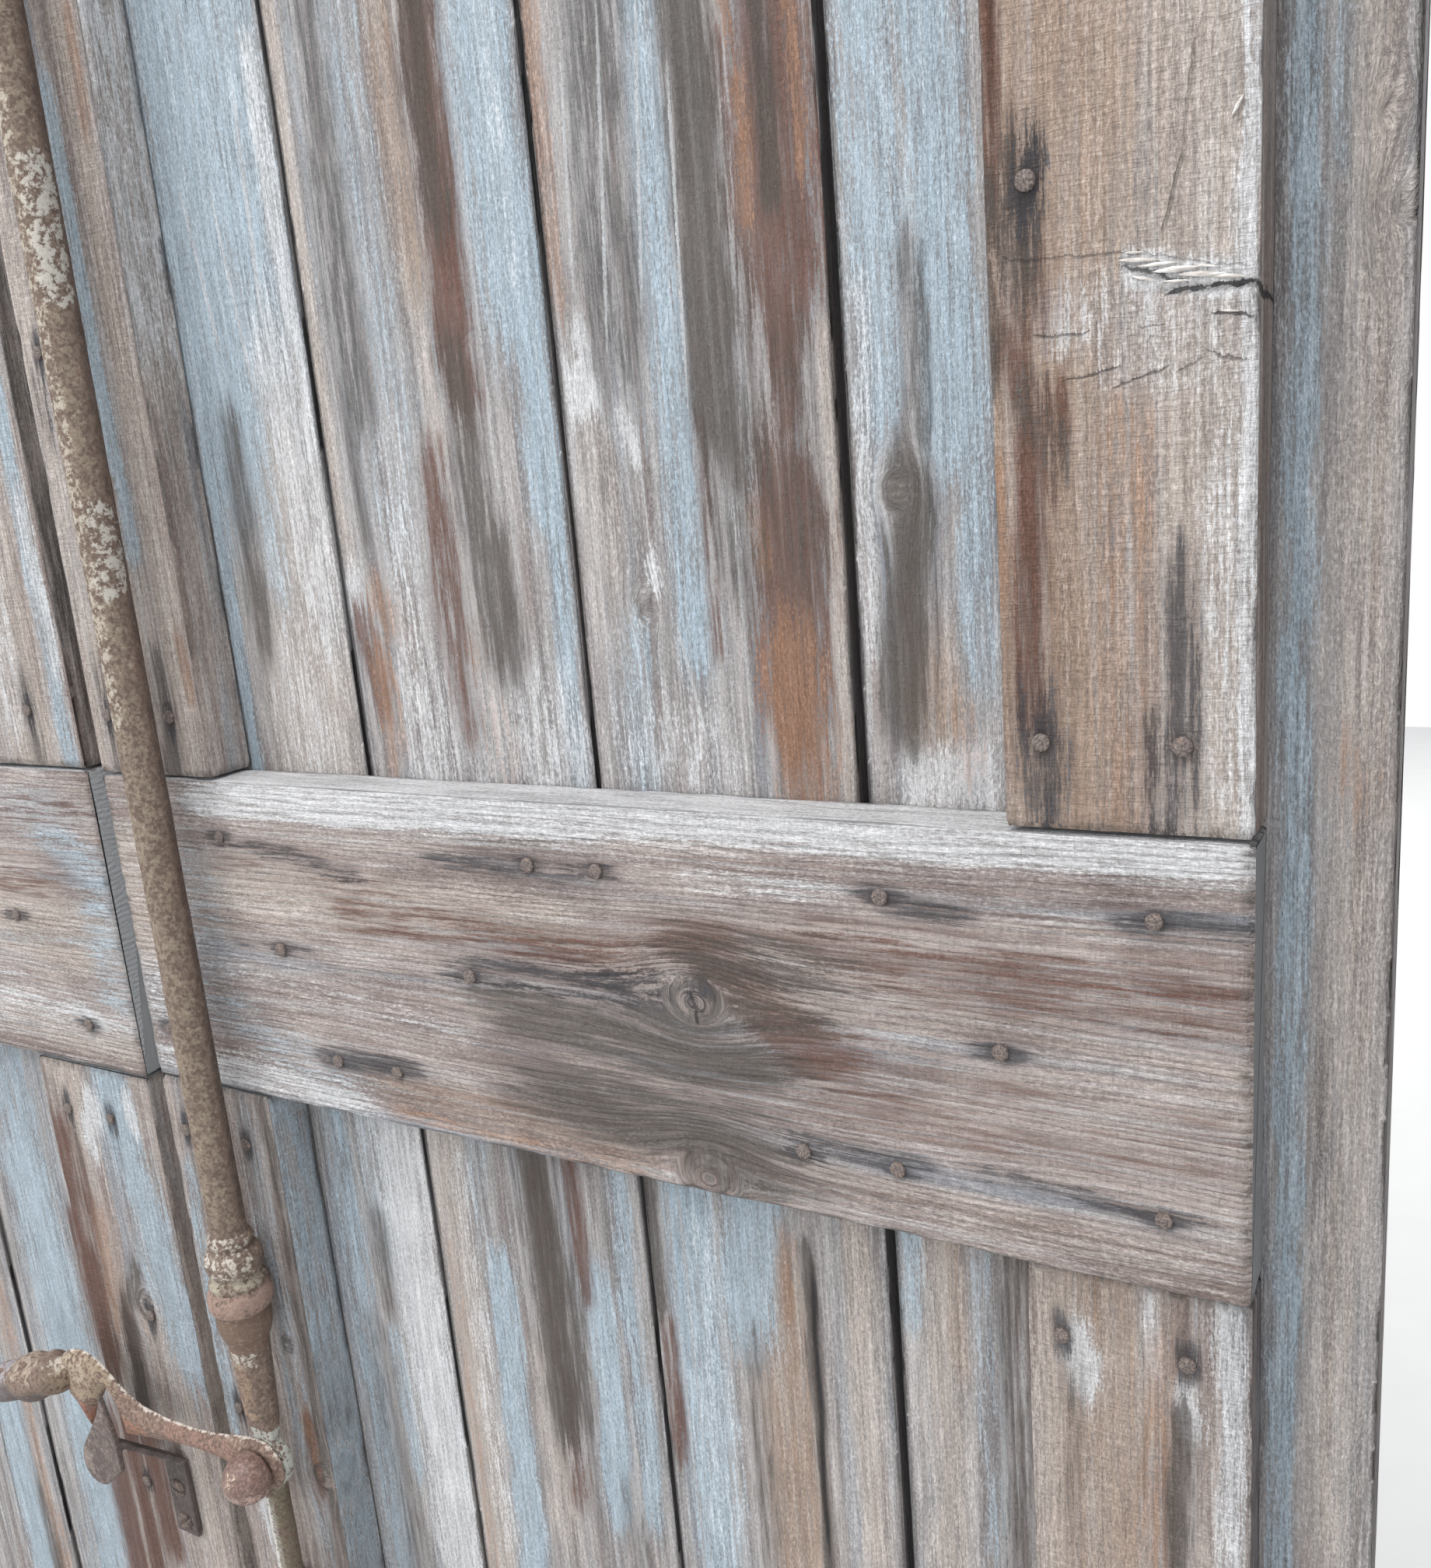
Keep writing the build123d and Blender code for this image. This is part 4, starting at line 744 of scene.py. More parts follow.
# Marks seen on the boards: kind, from (X, height over the middle rail) to (X, height), half width
# and strength
RIGHT_BOARD_MARKS = {
    1: (
        ("blue", 92, 420, 90, 215, 24, 1.0), ("blue", 118, 420, 118, 260, 20, 0.9),
        ("blue", 76, 240, 76, 70, 4, 1.0), ("blue", 100, 230, 104, 150, 9, 0.7),
        ("white", 131, 330, 132, 200, 5, 0.8), ("white", 120, 225, 126, 140, 12, 0.75),
        ("beige", 110, 150, 112, 72, 24, 1.0), ("dark", 92, 200, 92, 128, 7, 0.75),
        ("white", 104, 118, 112, 76, 22, 0.5), ("beige", 96, 300, 100, 200, 4, 0.4),
        ("beige", 118, 140, 118, 80, 10, 0.9), ("blue", 88, -90, 86, -330, 9, 0.75),
        ("white", 122, -90, 126, -340, 15, 1.0), ("blue", 104, -200, 106, -260, 6, 0.7),
        ("dark", 104, -140, 103, -172, 6, 0.6), ("dark", 92, -200, 94, -330, 8, 0.45),
        ("blue", 110, -88, 108, -140, 12, 0.6)),
    2: (
        ("beige", 142, 350, 143, 150, 4, 0.9), ("blue", 166, 360, 168, 190, 20, 0.5),
        ("dark", 160, 340, 160, 215, 9, 0.62), ("dark", 155, 270, 153, 165, 4, 0.5),
        ("tan", 190, 350, 192, 250, 7, 0.7), ("dark", 206, 370, 205, 275, 7, 0.8),
        ("rust", 206, 370, 207, 215, 8, 1.0), ("dark", 206, 215, 210, 120, 7, 0.8),
        ("rust", 190, 180, 192, 95, 7, 0.7), ("beige", 193, 250, 194, 195, 5, 0.6),
        ("blue", 231, 370, 232, 250, 14, 1.0), ("white", 234, 370, 234, 250, 6, 0.35),
        ("blue", 238, 260, 238, 175, 8, 1.0), ("blue", 241, 180, 240, 74, 5, 0.85),
        ("white", 144, 139, 148, 136, 6, 1.0), ("orange", 156, 138, 160, 134, 5, 0.9),
        ("rust", 147, 126, 150, 104, 7, 0.8), ("orange", 152, 110, 154, 84, 6, 0.8),
        ("white", 165, 90, 236, 82, 14, 0.62), ("orange", 205, 112, 206, 76, 10, 0.45),
        ("dark", 214, 150, 216, 122, 7, 0.85), ("white", 172, 190, 168, 120, 8, 0.5),
        ("beige", 150, -88, 148, -300, 10, 1.0), ("orange", 145, -140, 144, -300, 3, 0.6),
        ("blue", 166, -88, 163, -130, 8, 0.5), ("blue", 171, -150, 168, -300, 8, 1.0),
        ("beige", 188, -190, 190, -260, 9, 0.7), ("dark", 196, -84, 198, -200, 10, 1.0),
        ("white", 157, -100, 155, -280, 6, 0.55), ("rust", 197, -100, 200, -240, 6, 0.7),
        ("rust", 214, -88, 215, -142, 4, 0.9), ("dark", 208, -140, 208, -200, 6, 0.7),
        ("blue", 221, -145, 220, -238, 8, 1.0), ("blue", 236, -90, 237, -240, 6, 0.8),
        ("dark", 226, -240, 228, -280, 7, 0.5)),
    3: (
        ("orange", 251, 330, 252, 235, 4, 0.8), ("blue", 276, 340, 272, 215, 16, 0.45),
        ("dark", 276, 335, 272, 228, 13, 0.62), ("blue", 291, 340, 292, 125, 8, 0.85),
        ("white", 259, 221, 262, 205, 3.5, 1.0), ("white", 272, 195, 275, 184, 2.5, 1.0),
        ("beige", 262, 205, 262, 130, 9, 0.5), ("dark", 305, 360, 307, 195, 9, 1.0),
        ("dark", 312, 225, 312, 160, 12, 0.6), ("orange", 317, 360, 321, 300, 2.0, 1.0),
        ("rust", 333, 292, 333, 250, 16, 1.0), ("rust", 332, 330, 332, 296, 5, 0.7),
        ("rust", 331, 246, 331, 214, 7, 1.0), ("dark", 332, 304, 331, 258, 4, 0.9),
        ("orange", 341, 300, 342, 262, 3, 0.8), ("orange", 323, 286, 323, 250, 2.5, 0.9),
        ("blue", 323, 335, 325, 304, 4, 0.8), ("tan", 338, 360, 340, 322, 9, 0.8),
        ("rust", 330, 212, 331, 192, 5, 0.9), ("dark", 333, 200, 332, 155, 12, 0.45),
        ("rust", 329, 158, 329, 106, 13, 1.0), ("orange", 328, 106, 330, 84, 11, 1.0),
        ("white", 254, 205, 257, 205, 4, 1.0), ("white", 310, 163, 310, 154, 3, 1.0),
        ("orange", 317, 161, 319, 150, 4, 0.8), ("white", 278, 146, 279, 143, 3, 0.9),
        ("white", 262, 88, 300, 82, 8, 0.5), ("blue", 268, 116, 268, 78, 8, 0.65),
        ("beige", 346, 210, 345, 74, 4, 0.9), ("rust", 300, 190, 300, 120, 3, 0.55),
        ("dark", 251, -84, 251, -136, 4, 0.95), ("blue", 268, -84, 268, -250, 12, 0.9),
        ("white", 272, -110, 272, -250, 10, 0.35), ("blue", 296, -84, 290, -125, 13, 1.0),
        ("rust", 253, -150, 253, -205, 4, 0.75), ("tan", 302, -130, 306, -260, 15, 0.9),
        ("dark", 292, -150, 291, -235, 6, 0.5), ("orange", 308, -100, 306, -125, 4, 0.7),
        ("dark", 316, -100, 317, -250, 2.5, 0.9), ("beige", 336, -95, 336, -230, 7, 0.85)),
    4: (
        ("blue", 363, 320, 362, 200, 10, 0.85), ("blue", 380, 320, 384, 190, 11, 0.95),
        ("beige", 374, 300, 374, 240, 3, 0.8), ("white", 357, 220, 357, 120, 4, 0.7),
        ("dark", 373, 228, 374, 185, 5, 0.6), ("dark", 370, 160, 366, 104, 8, 1.0),
        ("rust", 369, 140, 369, 108, 5, 0.5), ("blue", 390, 215, 389, 115, 6, 0.7),
        ("tan", 376, 98, 374, 82, 13, 0.8), ("orange", 384, 95, 385, 84, 6, 0.5),
        ("white", 366, 77, 390, 79, 5, 0.9), ("blue", 357, -86, 356, -110, 6, 0.7),
        ("beige", 366, -90, 366, -210, 10, 0.75), ("dark", 394, -86, 393, -210, 7, 0.6),
        ("blue", 384, -90, 384, -200, 6, 0.5), ("tan", 372, -86, 374, -130, 4, 0.6)),
    5: (
        ("blue", 477, 400, 477, -200, 4.5, 0.85), ("beige", 493, 400, 492, -200, 8, 0.7),
        ("orange", 490, 84, 494, 80, 6, 0.5), ("blue", 484, 320, 485, 240, 3, 0.6)),
}
LEFT_BOARD_MARKS = {
    1: (("blue", -96, -84, -97, -160, 8, 0.6), ("orange", -104, -190, -103, -240, 7, 1.0)),
    2: (
        ("blue", -150, -100, -150, -175, 22, 0.75), ("blue", -152, -170, -150, -300, 22, 1.0),
        ("rust", -118, -185, -117, -245, 7, 0.8), ("blue", -150, -300, -150, -440, 20, 0.9),
        ("rust", -125, -330, -127, -410, 12, 1.0), ("orange", -112, -340, -114, -400, 5, 0.8)),
    3: (
        ("orange", -205, -250, -205, -440, 6, 0.7), ("blue", -225, -330, -225, -440, 14, 1.0),
        ("beige", -212, -240, -212, -300, 5, 0.7)),
}
BOARD_KNOTS = {
    ("right", 3): ((274, 898.5, 3.0, 0.7),),
    ("right", 4): ((365.3, 930.3, 3.6, 0.35),),
    ("right", 5): ((501, 991, 3.2, 0.6), (496.5, 1013, 2.2, 0.5)),
    ("right", 1): ((95, 310, 5.0, 0.8),),
    ("left", 2): ((-150, 1180, 6.0, 0.8),),
    ("left", 4): ((-330, 560, 7.0, 0.8),),
    ("right", 2): ((180, 1290, 6.0, 0.8),),
}
BOARD_CRACKS = {
    ("right", 3): ((316, 520, 668, 0.01, 0.9, 1.6),),
    ("right", 4): ((376, 850, 1010, 0.01, 0.5, 0.7),),
    ("right", 1): ((104, 1100, 1300, -0.01, 0.6, 1.2),),
    ("left", 3): ((-240, 300, 560, 0.01, 0.7, 1.4),),
    ("left", 5): ((-440, 900, 1200, 0.01, 0.7, 1.4),),
    ("right", 5): ((482, 800, 1010, 0.0, 0.45, 0.6),),
}
board_bodies = {"right": "right_leaf", "left": "left_leaf"}

def marks_on(seen_marks, lying=False):
    """Marks as a timber takes them, from (across, along) to (across, along), from the floor up."""
    found = []
    for kind, x0, z0, x1, z1, *looks in seen_marks:
        start, end = (x0, z0 + MIDDLE), (x1, z1 + MIDDLE)
        if lying:
            start, end = start[::-1], end[::-1]
        found.append((kind, *start, *end, *looks))
    return found


for leaf, sign in (("right", 1), ("left", -1)):
    seen_marks = RIGHT_BOARD_MARKS if leaf == "right" else LEFT_BOARD_MARKS
    top_seen = SEEN_ABOVE if leaf == "right" else LEFT_SEEN_ABOVE
    for number in range(1, 6):
        name = f"{leaf}_board_{number}"
        low, high = node_box(name)
        # drawn from the meeting edge outwards, as on the right leaf
        inner, outer = sorted((sign * low[0], sign * high[0]))
        tip = outer
        if number < 5:
            outer -= TONGUE_LENGTH + (OPEN_JOINT if (leaf, number) in OPEN_JOINTS else CLOSE_JOINT)
        corners = [(inner, BOARD_FACE), (outer, BOARD_FACE)]
        steps = [2.0 if leaf == "right" else 2.6, 2.5]
        if number < 5:
            corners += [(outer, TONGUE_FRONT), (tip, TONGUE_FRONT), (tip, TONGUE_BACK),
                        (outer, TONGUE_BACK)]
            steps += [4, 3, 4, 4]
        corners += [(outer, BOARD_BACK), (inner, BOARD_BACK)]
        steps += [4.5, 4]
        if number > 1:
            groove = inner + TONGUE_LENGTH + TONGUE_PLAY
            front, back = TONGUE_FRONT - TONGUE_PLAY, TONGUE_BACK + TONGUE_PLAY
            corners += [(inner, back), (groove, back), (groove, front), (inner, front)]
            steps += [4, 4, 4, 4]
        if sign < 0:
            # mirrored: the room side still comes first, from the lowest X
            flipped = [(-a, y) for a, y in corners]
            corners = [flipped[1], flipped[0]] + flipped[:1:-1]
            steps = [steps[0]] + steps[:0:-1]
        marks = marks_on(seen_marks.get(number, ()))
        mesh = timber(name, corners, steps, (low[2], high[2]), True, board_finish, spacing=9.0,
                      fine=[(MIDDLE - 340, MIDDLE + 370, 4.0)] if marks else (),
                      knots=BOARD_KNOTS.get((leaf, number), ()),
                      cracks=BOARD_CRACKS.get((leaf, number), ()),
                      plain_window=(MIDDLE + SEEN_BELOW, MIDDLE + top_seen) if marks else None,
                      marks=marks, busy=26, arris=0.5)
        new_piece(mesh, board_bodies[leaf], "board_wood", name)

# The room-side layer is three rails with stile pieces butted between them, in old pine. The broad middle
# rail of the photograph is whitened along its top as painted highlight, with a big knot right of middle.
RAIL_MARKS = (
    ("beige", 75, 24, 220, 24, 12, 0.9), ("rust", 150, 20, 262, 15, 10, 0.6),
    # the white streaks along the top edge, 62 to 68 over the middle, are painted highlight on the top arris
    ("rust", 75, 34, 150, 32, 7, 0.4), ("white", 70, 62, 250, 63, 8, 1.0),
    ("white", 250, 64, 465, 65, 7, 1.0), ("white", 120, 67, 470, 68, 4, 1.0),
    ("white", 60, -12, 190, -22, 7, 0.35), ("stain", 78, 43, 142, 36, 4, 0.6),
    ("stain", 190, 45, 252, 45, 5, 0.62), ("stain", 362, 44, 384, 42, 4, 0.6),
    ("stain", 440, 46, 470, 44, 5, 0.6), ("stain", 78, 1, 108, 0, 4, 0.6),
    ("stain", 198, 2, 285, 6, 7, 0.62), ("dark", 225, -12, 300, -18, 13, 0.85),
    ("dark", 250, -42, 300, -52, 17, 0.85), ("dark", 283, -10, 305, 12, 20, 0.7),
    ("rust", 300, 22, 335, -10, 11, 0.85), ("dark", 312, 24, 336, 2, 5, 0.6),
    ("blue", 62, -32, 112, -55, 12, 0.5), ("white", 50, -60, 120, -62, 8, 0.8),
    ("beige", 340, 4, 468, -6, 22, 0.4), ("rust", 345, 22, 460, 22, 14, 0.5),
    ("rust", 350, -18, 450, -24, 16, 0.38), ("beige", 330, -50, 460, -62, 8, 0.4),
    ("stain", 118, -45, 156, -45, 5, 0.8), ("stain", 330, -43, 370, -44, 4, 0.7),
    ("stain", 395, -42, 452, -44, 4, 0.6), ("orange", 150, -64, 260, -66, 4, 0.5),
    ("beige", 12, 40, 14, -10, 10, 0.8), ("white", 12, -20, 14, -60, 8, 0.6),
    ("white", 300, 46, 345, 44, 5, 0.5), ("tan", 150, -50, 255, -60, 8, 0.5),
    ("blue", 52, 40, 54, -20, 7, 0.4))
LEFT_RAIL_MARKS = (
    ("white", -70, 52, -20, 50, 9, 0.8), ("blue", -45, 50, -20, 20, 12, 0.7),
    ("beige", -85, 5, -30, -10, 22, 0.9), ("white", -40, -46, -34, -50, 5, 1.0),
    ("beige", -85, -55, -20, -60, 10, 0.8), ("blue", -14, 30, -14, -40, 7, 0.6))
STILE_MARKS = {
    "right_upper_hinge_stile": (
        ("tan", 420, 290, 420, 72, 22, 1.0), ("rust", 405, 290, 404, 240, 3, 0.9),
        ("dark", 404, 240, 404, 200, 4, 0.6), ("stain", 415, 245, 413, 238, 5, 0.7),
        ("dark", 412, 238, 411, 225, 7, 0.8), ("rust", 410, 236, 412, 220, 9, 0.7),
        ("beige", 455, 290, 458, 75, 12, 1.0), ("rust", 408, 200, 418, 180, 5, 0.8),
        ("rust", 420, 180, 412, 150, 5, 0.75), ("dark", 414, 186, 420, 176, 5, 0.6),
        ("rust", 414, 175, 412, 105, 5, 0.9), ("orange", 440, 170, 436, 78, 9, 0.5),
        ("stain", 452, 140, 452, 82, 4.5, 0.75), ("stain", 444, 96, 446, 74, 5, 0.6),
        ("white", 440, 217, 466, 211, 2.2, 1.0), ("white", 418, 208, 468, 204, 4.5, 0.5),
        ("white", 434, 196, 468, 192, 4, 0.45), ("white", 468, 290, 468, 75, 3, 0.9),
        ("stain", 414, 95, 414, 86, 8, 0.7), ("orange", 405, 165, 404, 140, 4, 0.7),
        ("beige", 440, 300, 442, 232, 9, 0.8), ("white", 462, 180, 462, 90, 6, 0.5)),
    "right_lower_hinge_stile": (
        ("tan", 428, -85, 428, -240, 18, 0.7), ("beige", 430, -110, 432, -240, 10, 0.9),
        ("beige", 412, -80, 412, -240, 8, 0.9), ("orange", 444, -100, 440, -240, 6, 0.6),
        ("white", 418, -101, 420, -104, 6, 1.0), ("white", 451, -110, 452, -114, 4.5, 1.0),
        ("dark", 450, -118, 449, -165, 4, 0.9), ("white", 464, -75, 466, -240, 5, 0.8),
        ("white", 442, -78, 442, -98, 3, 0.7), ("dark", 417, -110, 417, -170, 3, 0.5)),
    "right_upper_meeting_stile": (
        ("blue", 49, 330, 50, 165, 4.5, 1.0), ("beige", 63, 400, 63, 75, 5, 1.0),
        ("orange", 67, 350, 67, 318, 3, 0.8), ("orange", 68, 124, 69, 108, 3, 0.9),
        ("beige", 12, 300, 12, 80, 7, 0.8), ("beige", 32, 320, 32, 90, 16, 0.8),
        ("stain", 13, 228, 13, 215, 5, 0.5), ("dark", 52, 112, 52, 74, 6, 0.8),
        ("dark", 18, 112, 18, 74, 7, 0.6)),
    "right_lower_meeting_stile": (
        ("blue", 12, -120, 11, -260, 5, 0.7), ("blue", 58, -90, 62, -300, 9, 0.5),
        ("rust", 63, -238, 64, -268, 4, 0.9), ("orange", 62, -235, 64, -255, 4, 0.8),
        ("dark", 70, -75, 69, -330, 4, 0.7), ("white", 20, -290, 24, -320, 4, 0.9)),
    "left_upper_meeting_stile": (
        ("blue", -16, 240, -14, 80, 6, 0.9), ("white", -46, 280, -46, 100, 10, 0.6),
        ("white", -14, 180, -12, 120, 5, 0.8), ("beige", -38, 160, -34, 80, 14, 0.8),
        ("dark", -36, 104, -36, 80, 6, 0.6)),
    "left_lower_meeting_stile": (
        ("beige", -66, -80, -62, -95, 12, 1.0), ("blue", -35, -80, -14, -210, 14, 1.0),
        ("white", -50, -100, -56, -110, 7, 1.0), ("white", -22, -98, -24, -92, 4, 1.0),
        ("rust", -80, -118, -82, -170, 6, 0.9), ("rust", -70, -110, -68, -200, 5, 0.6),
        ("rust", -77, -190, -79, -240, 9, 1.0), ("orange", -62, -160, -66, -215, 5, 0.7),
        ("dark", -56, -222, -58, -262, 7, 1.0), ("rust", -57, -215, -58, -262, 6, 0.9),
        ("beige", -28, -228, -26, -262, 8, 0.7), ("dark", -42, -185, -58, -212, 5, 0.7),
        ("rust", -60, -285, -58, -340, 8, 1.0), ("rust", -75, -285, -76, -400, 7, 1.0),
        ("beige", -25, -270, -24, -340, 9, 0.8), ("blue", -30, -120, -30, -180, 12, 0.6)),
}
RAIL_KNOTS = {
    # height, X, radius and darkness
    "right_middle_rail": ((766, 292.7, 7.5, 0.9), (700, 292, 8.0, 0.15)),
    "right_bottom_rail": ((130, 330, 8.0, 0.8),),
    "left_middle_rail": ((770, -300, 8.0, 0.8),),
    "left_top_rail": ((1390, -180, 8.0, 0.8),),
}
RAIL_CRACKS = {"right_middle_rail": ((706, 300, 470, 0.0, 0.5, 0.7),)}
STILE_KNOTS = {
    "left_lower_meeting_stile": ((-40, 563, 5.5, 0.7),),
    "right_lower_meeting_stile": ((58, 568, 3.5, 0.7), (66, 500, 5.0, 0.7)),
    "left_upper_hinge_stile": ((-440, 1100, 7.0, 0.8),),
    "left_lower_hinge_stile": ((-430, 400, 6.0, 0.8),),
    "left_upper_meeting_stile": ((-60, 1200, 6.0, 0.8),),
}
STILE_SPLITS = {
    "right_upper_hinge_stile": (
        (438, 982, 453, 976.3, 0.7, 1.4), (448.4, 974.3, 470, 974.7, 0.8, 1.8),
        (469.5, 974.7, 471.5, 969, 0.8, 1.6)),
}
STILE_CRACKS = {
    "right_upper_hinge_stile": ((407, 1000, 1200, 0.0, 0.6, 1.0),),
    "left_upper_meeting_stile": ((-50, 1000, 1240, 0.02, 0.6, 1.4),),
    "right_lower_hinge_stile": ((440, 600, 690, -0.02, 0.5, 0.8), (425, 300, 520, 0.01, 0.6, 1.3)),
}


FRAMING_FACE = -22.0
HEAD_SPREAD = 6.5               # wider than a nail head, narrower than the space between two


def fastener_places(node, spread, below=math.inf):
    """Where a node's fasteners are: X, lowest Y and Z of each, in millimetres, from the points of
    the CAD node whose Y is below the limit. Points nearer than spread belong together."""
    points = np.array([vertex.co for vertex in nodes[node].data.vertices]) / MM
    points = points[points[:, 1] < below]
    found = []
    while len(points):
        near = np.hypot(points[:, 0] - points[0, 0], points[:, 2] - points[0, 2]) < spread
        low, high = points[near].min(0), points[near].max(0)
        found.append(((low[0] + high[0]) / 2, low[1], (low[2] + high[2]) / 2))
        points = points[~near]
    return found


nail_spots = {leaf: fastener_places(f"{leaf}_nails", HEAD_SPREAD, FRAMING_FACE + 4.0)
              for leaf in ("right", "left")}
for leaf in ("right", "left"):
    body = board_bodies[leaf]
    for kind in ("bottom", "middle", "top"):
        name = f"{leaf}_{kind}_rail"
        low, high = node_box(name)
        nails = [(z, x) for x, y, z in nail_spots[leaf] if low[2] < z < high[2]]
        seen_marks = RAIL_MARKS if leaf == "right" else LEFT_RAIL_MARKS
        marks = marks_on(seen_marks, lying=True) if kind == "middle" else ()
        shown = name == "right_middle_rail"
        corners = plain_section(low[2], high[2], low[1], high[1])
        steps = (1.3 if shown else 2.2, 3, 5, 3)
        mesh = timber(name, corners, steps, (low[0], high[0]), False, rail_finish,
                      spacing=2.8 if shown else 6.0, fine=[(262, 326, 1.2)] if shown else (),
                      knots=RAIL_KNOTS.get(name, ()), cracks=RAIL_CRACKS.get(name, ()), marks=marks,
                      nails=nails, plain_window=(0, 480) if shown else None, busy=12, arris=0.9,
                      painted_top_light=1.2 if kind == "middle" else 0.5)
        new_piece(mesh, body, "framing_wood", name)
    for kind in ("lower_meeting", "upper_meeting", "lower_hinge", "upper_hinge"):
        name = f"{leaf}_{kind}_stile"
        low, high = node_box(name)
        nails = [(x, z) for x, y, z in nail_spots[leaf] if low[2] < z < high[2] and low[0] < x < high[0]]
        marks = marks_on(STILE_MARKS.get(name, ()))
        fine = [(max(low[2] + 3, MIDDLE - 340), min(high[2] - 3, MIDDLE + 330), 3.0)] if marks else []
        if name in STILE_SPLITS:
            fine.append((950, 990, 0.9))
        corners = plain_section(low[0], high[0], low[1], high[1])
        mesh = timber(name, corners, (1.6, 2.5, 5, 2.5), (low[2], high[2]), True, framing_finish,
                      spacing=7.0, fine=fine, knots=STILE_KNOTS.get(name, ()),
                      cracks=STILE_CRACKS.get(name, ()), splits=STILE_SPLITS.get(name, ()), marks=marks,
                      nails=nails, busy=14, arris=0.9,
                      plain_window=(MIDDLE + SEEN_BELOW, MIDDLE + SEEN_ABOVE) if marks else None)
        new_piece(mesh, body, "framing_wood", name)

# Each tenon is held by two oak pegs, shaved by hand and driven right through the jamb. Their
# ends show on both faces, a little proud of the weathered wood, browner and not quite round.


def start_tree(name, kinds):
    """A tree of nodes that works on a carrier mesh, with a named input for each of the kinds."""
    tree = bpy.data.node_groups.new(name, "GeometryNodeTree")
    tree.interface.new_socket("Places", in_out="INPUT", socket_type="NodeSocketGeometry")
    for label, kind in kinds.items():
        tree.interface.new_socket(label, in_out="INPUT", socket_type="NodeSocket" + kind)
    tree.interface.new_socket("Made", in_out="OUTPUT", socket_type="NodeSocketGeometry")
    given = tree.nodes.new("NodeGroupInput")
    return tree, Wire(tree), {one.name: Wire(tree, one) for one in given.outputs if one.name}


def roughen(start, made, spacing, depth):
    """Push a surface inwards, unevenly, as a hammer and rust leave it."""
    place = start.node("GeometryNodeInputPosition") * (1.0 / MM)
    outward = start.node("GeometryNodeInputNormal")
    low = (place * (0.3, 0.3, 0.3)).noise(spacing, 3.0, 0.6)
    return start.node("GeometryNodeSetPosition", None, {0: made, 3: outward * ((low - 0.8) * depth * MM)})


def end_tree(start, made, finish):
    real = start.node("GeometryNodeRealizeInstances", None, {0: made})
    smooth = start.node("GeometryNodeSetShadeSmooth", None, {0: real})
    coated = start.node("GeometryNodeSetMaterial", None, {0: smooth, 2: finish})
    start.node("NodeGroupOutput", None, {0: coated})


def run_tree(name, carrier, tree, values):
    """The plain mesh that a tree makes on its carrier."""
    holder = set_up(name, carrier)
    modifier = holder.modifiers.new(tree.name, "NODES")
    modifier.node_group = tree
    sockets = {item.name: item.identifier for item in tree.interface.items_tree}
    for label, value in values.items():
        modifier[sockets[label]] = value
    mesh = carried_out(holder)
    mesh.name = name
    holder.modifiers.remove(modifier)
    bpy.data.objects.remove(holder)
    mesh.materials.clear()
    mesh.materials.append(values["Finish"])
    mesh.polygons.foreach_set("material_index", np.zeros(len(mesh.polygons), np.int32))
    return mesh


# A bar drawn along paths: round or square in section, as wide as each station says
bar_tree, start, given = start_tree("bar along its path", {
    "Sides": "Int", "Spacing": "Float", "Depth": "Float", "Finish": "Material"})
path = start.node("GeometryNodeMeshToCurve", None, {0: given["Places"]})
ring = start.node("GeometryNodeCurvePrimitiveCircle", None, {0: given["Sides"], 4: 1.0})
bar = start.node("GeometryNodeCurveToMesh", None, {0: path, 1: ring, 3: True})
middle = start.node("GeometryNodeInputNamedAttribute", {"data_type": "FLOAT_VECTOR"}, {0: "middle"})
size = start.node("GeometryNodeInputNamedAttribute", {"data_type": "FLOAT_VECTOR"}, {0: "size"})
power = start.node("GeometryNodeInputNamedAttribute", {"data_type": "FLOAT_VECTOR"}, {0: "roundness"})
spoke = start.node("GeometryNodeInputPosition") - middle
sign = start.node("ShaderNodeVectorMath", {"operation": "SIGN"}, {0: spoke})
reach = start.node("ShaderNodeVectorMath", {"operation": "ABSOLUTE"}, {0: spoke})
shaped = middle + sign * (reach ** power) * size
bar = start.node("GeometryNodeSetPosition", None, {0: bar, 2: shaped})
end_tree(start, roughen(start, bar, given["Spacing"], given["Depth"]), given["Finish"])


def path_mesh(name, paths):
    """Chains of stations: place, half sizes across the path in X, Y and Z, and 1 for a round section."""
    stations = np.concatenate([np.array(path, float) for path in paths])
    edges, first = [], 0
    for path in paths:
        edges += [(first + number, first + number + 1) for number in range(len(path) - 1)]
        first += len(path)
    mesh = bpy.data.meshes.new(name)
    mesh.from_pydata((stations[:, :3] * MM).tolist(), edges, [])
    round_ = np.repeat(stations[:, 6:7], 3, 1)
    for label, values in (("middle", stations[:, :3] * MM), ("size", stations[:, 3:6] * MM),
                          ("roundness", round_)):
        add_values(mesh, label, "FLOAT_VECTOR", values)
    return mesh


def turned(axis, place, rows):
    """Stations of a round bar along Y or Z, from rows of (position on the axis, radius)."""
    stations = []
    for position, radius in rows:
        point = list(place)
        point[axis] = position
        stations.append((*point, radius, radius, radius, 1.0))
    return stations


def bars(name, paths, sides, spacing, depth, finish):
    return run_tree(name, path_mesh(name, paths), bar_tree,
                    {"Sides": sides, "Spacing": spacing, "Depth": depth, "Finish": finish})


peg_finish, start = start_finish("oak peg ends")
spot = place_in_object(start)
fibres = (spot * (1.0, 0.08, 1.0)).noise(0.9, 4.0, 0.7)
spots = spot.noise(0.35, 3.0)
colour = mixed(start, fibres.rise(0.3, 0.7), shade(92, 80, 73), shade(142, 128, 117))
colour = mixed(start, spots.rise(0.5, 0.7) * 0.6, colour, shade(150, 158, 166))
end_finish(start, colour, 0.9, fibres + spots * 0.4, 0.0006)

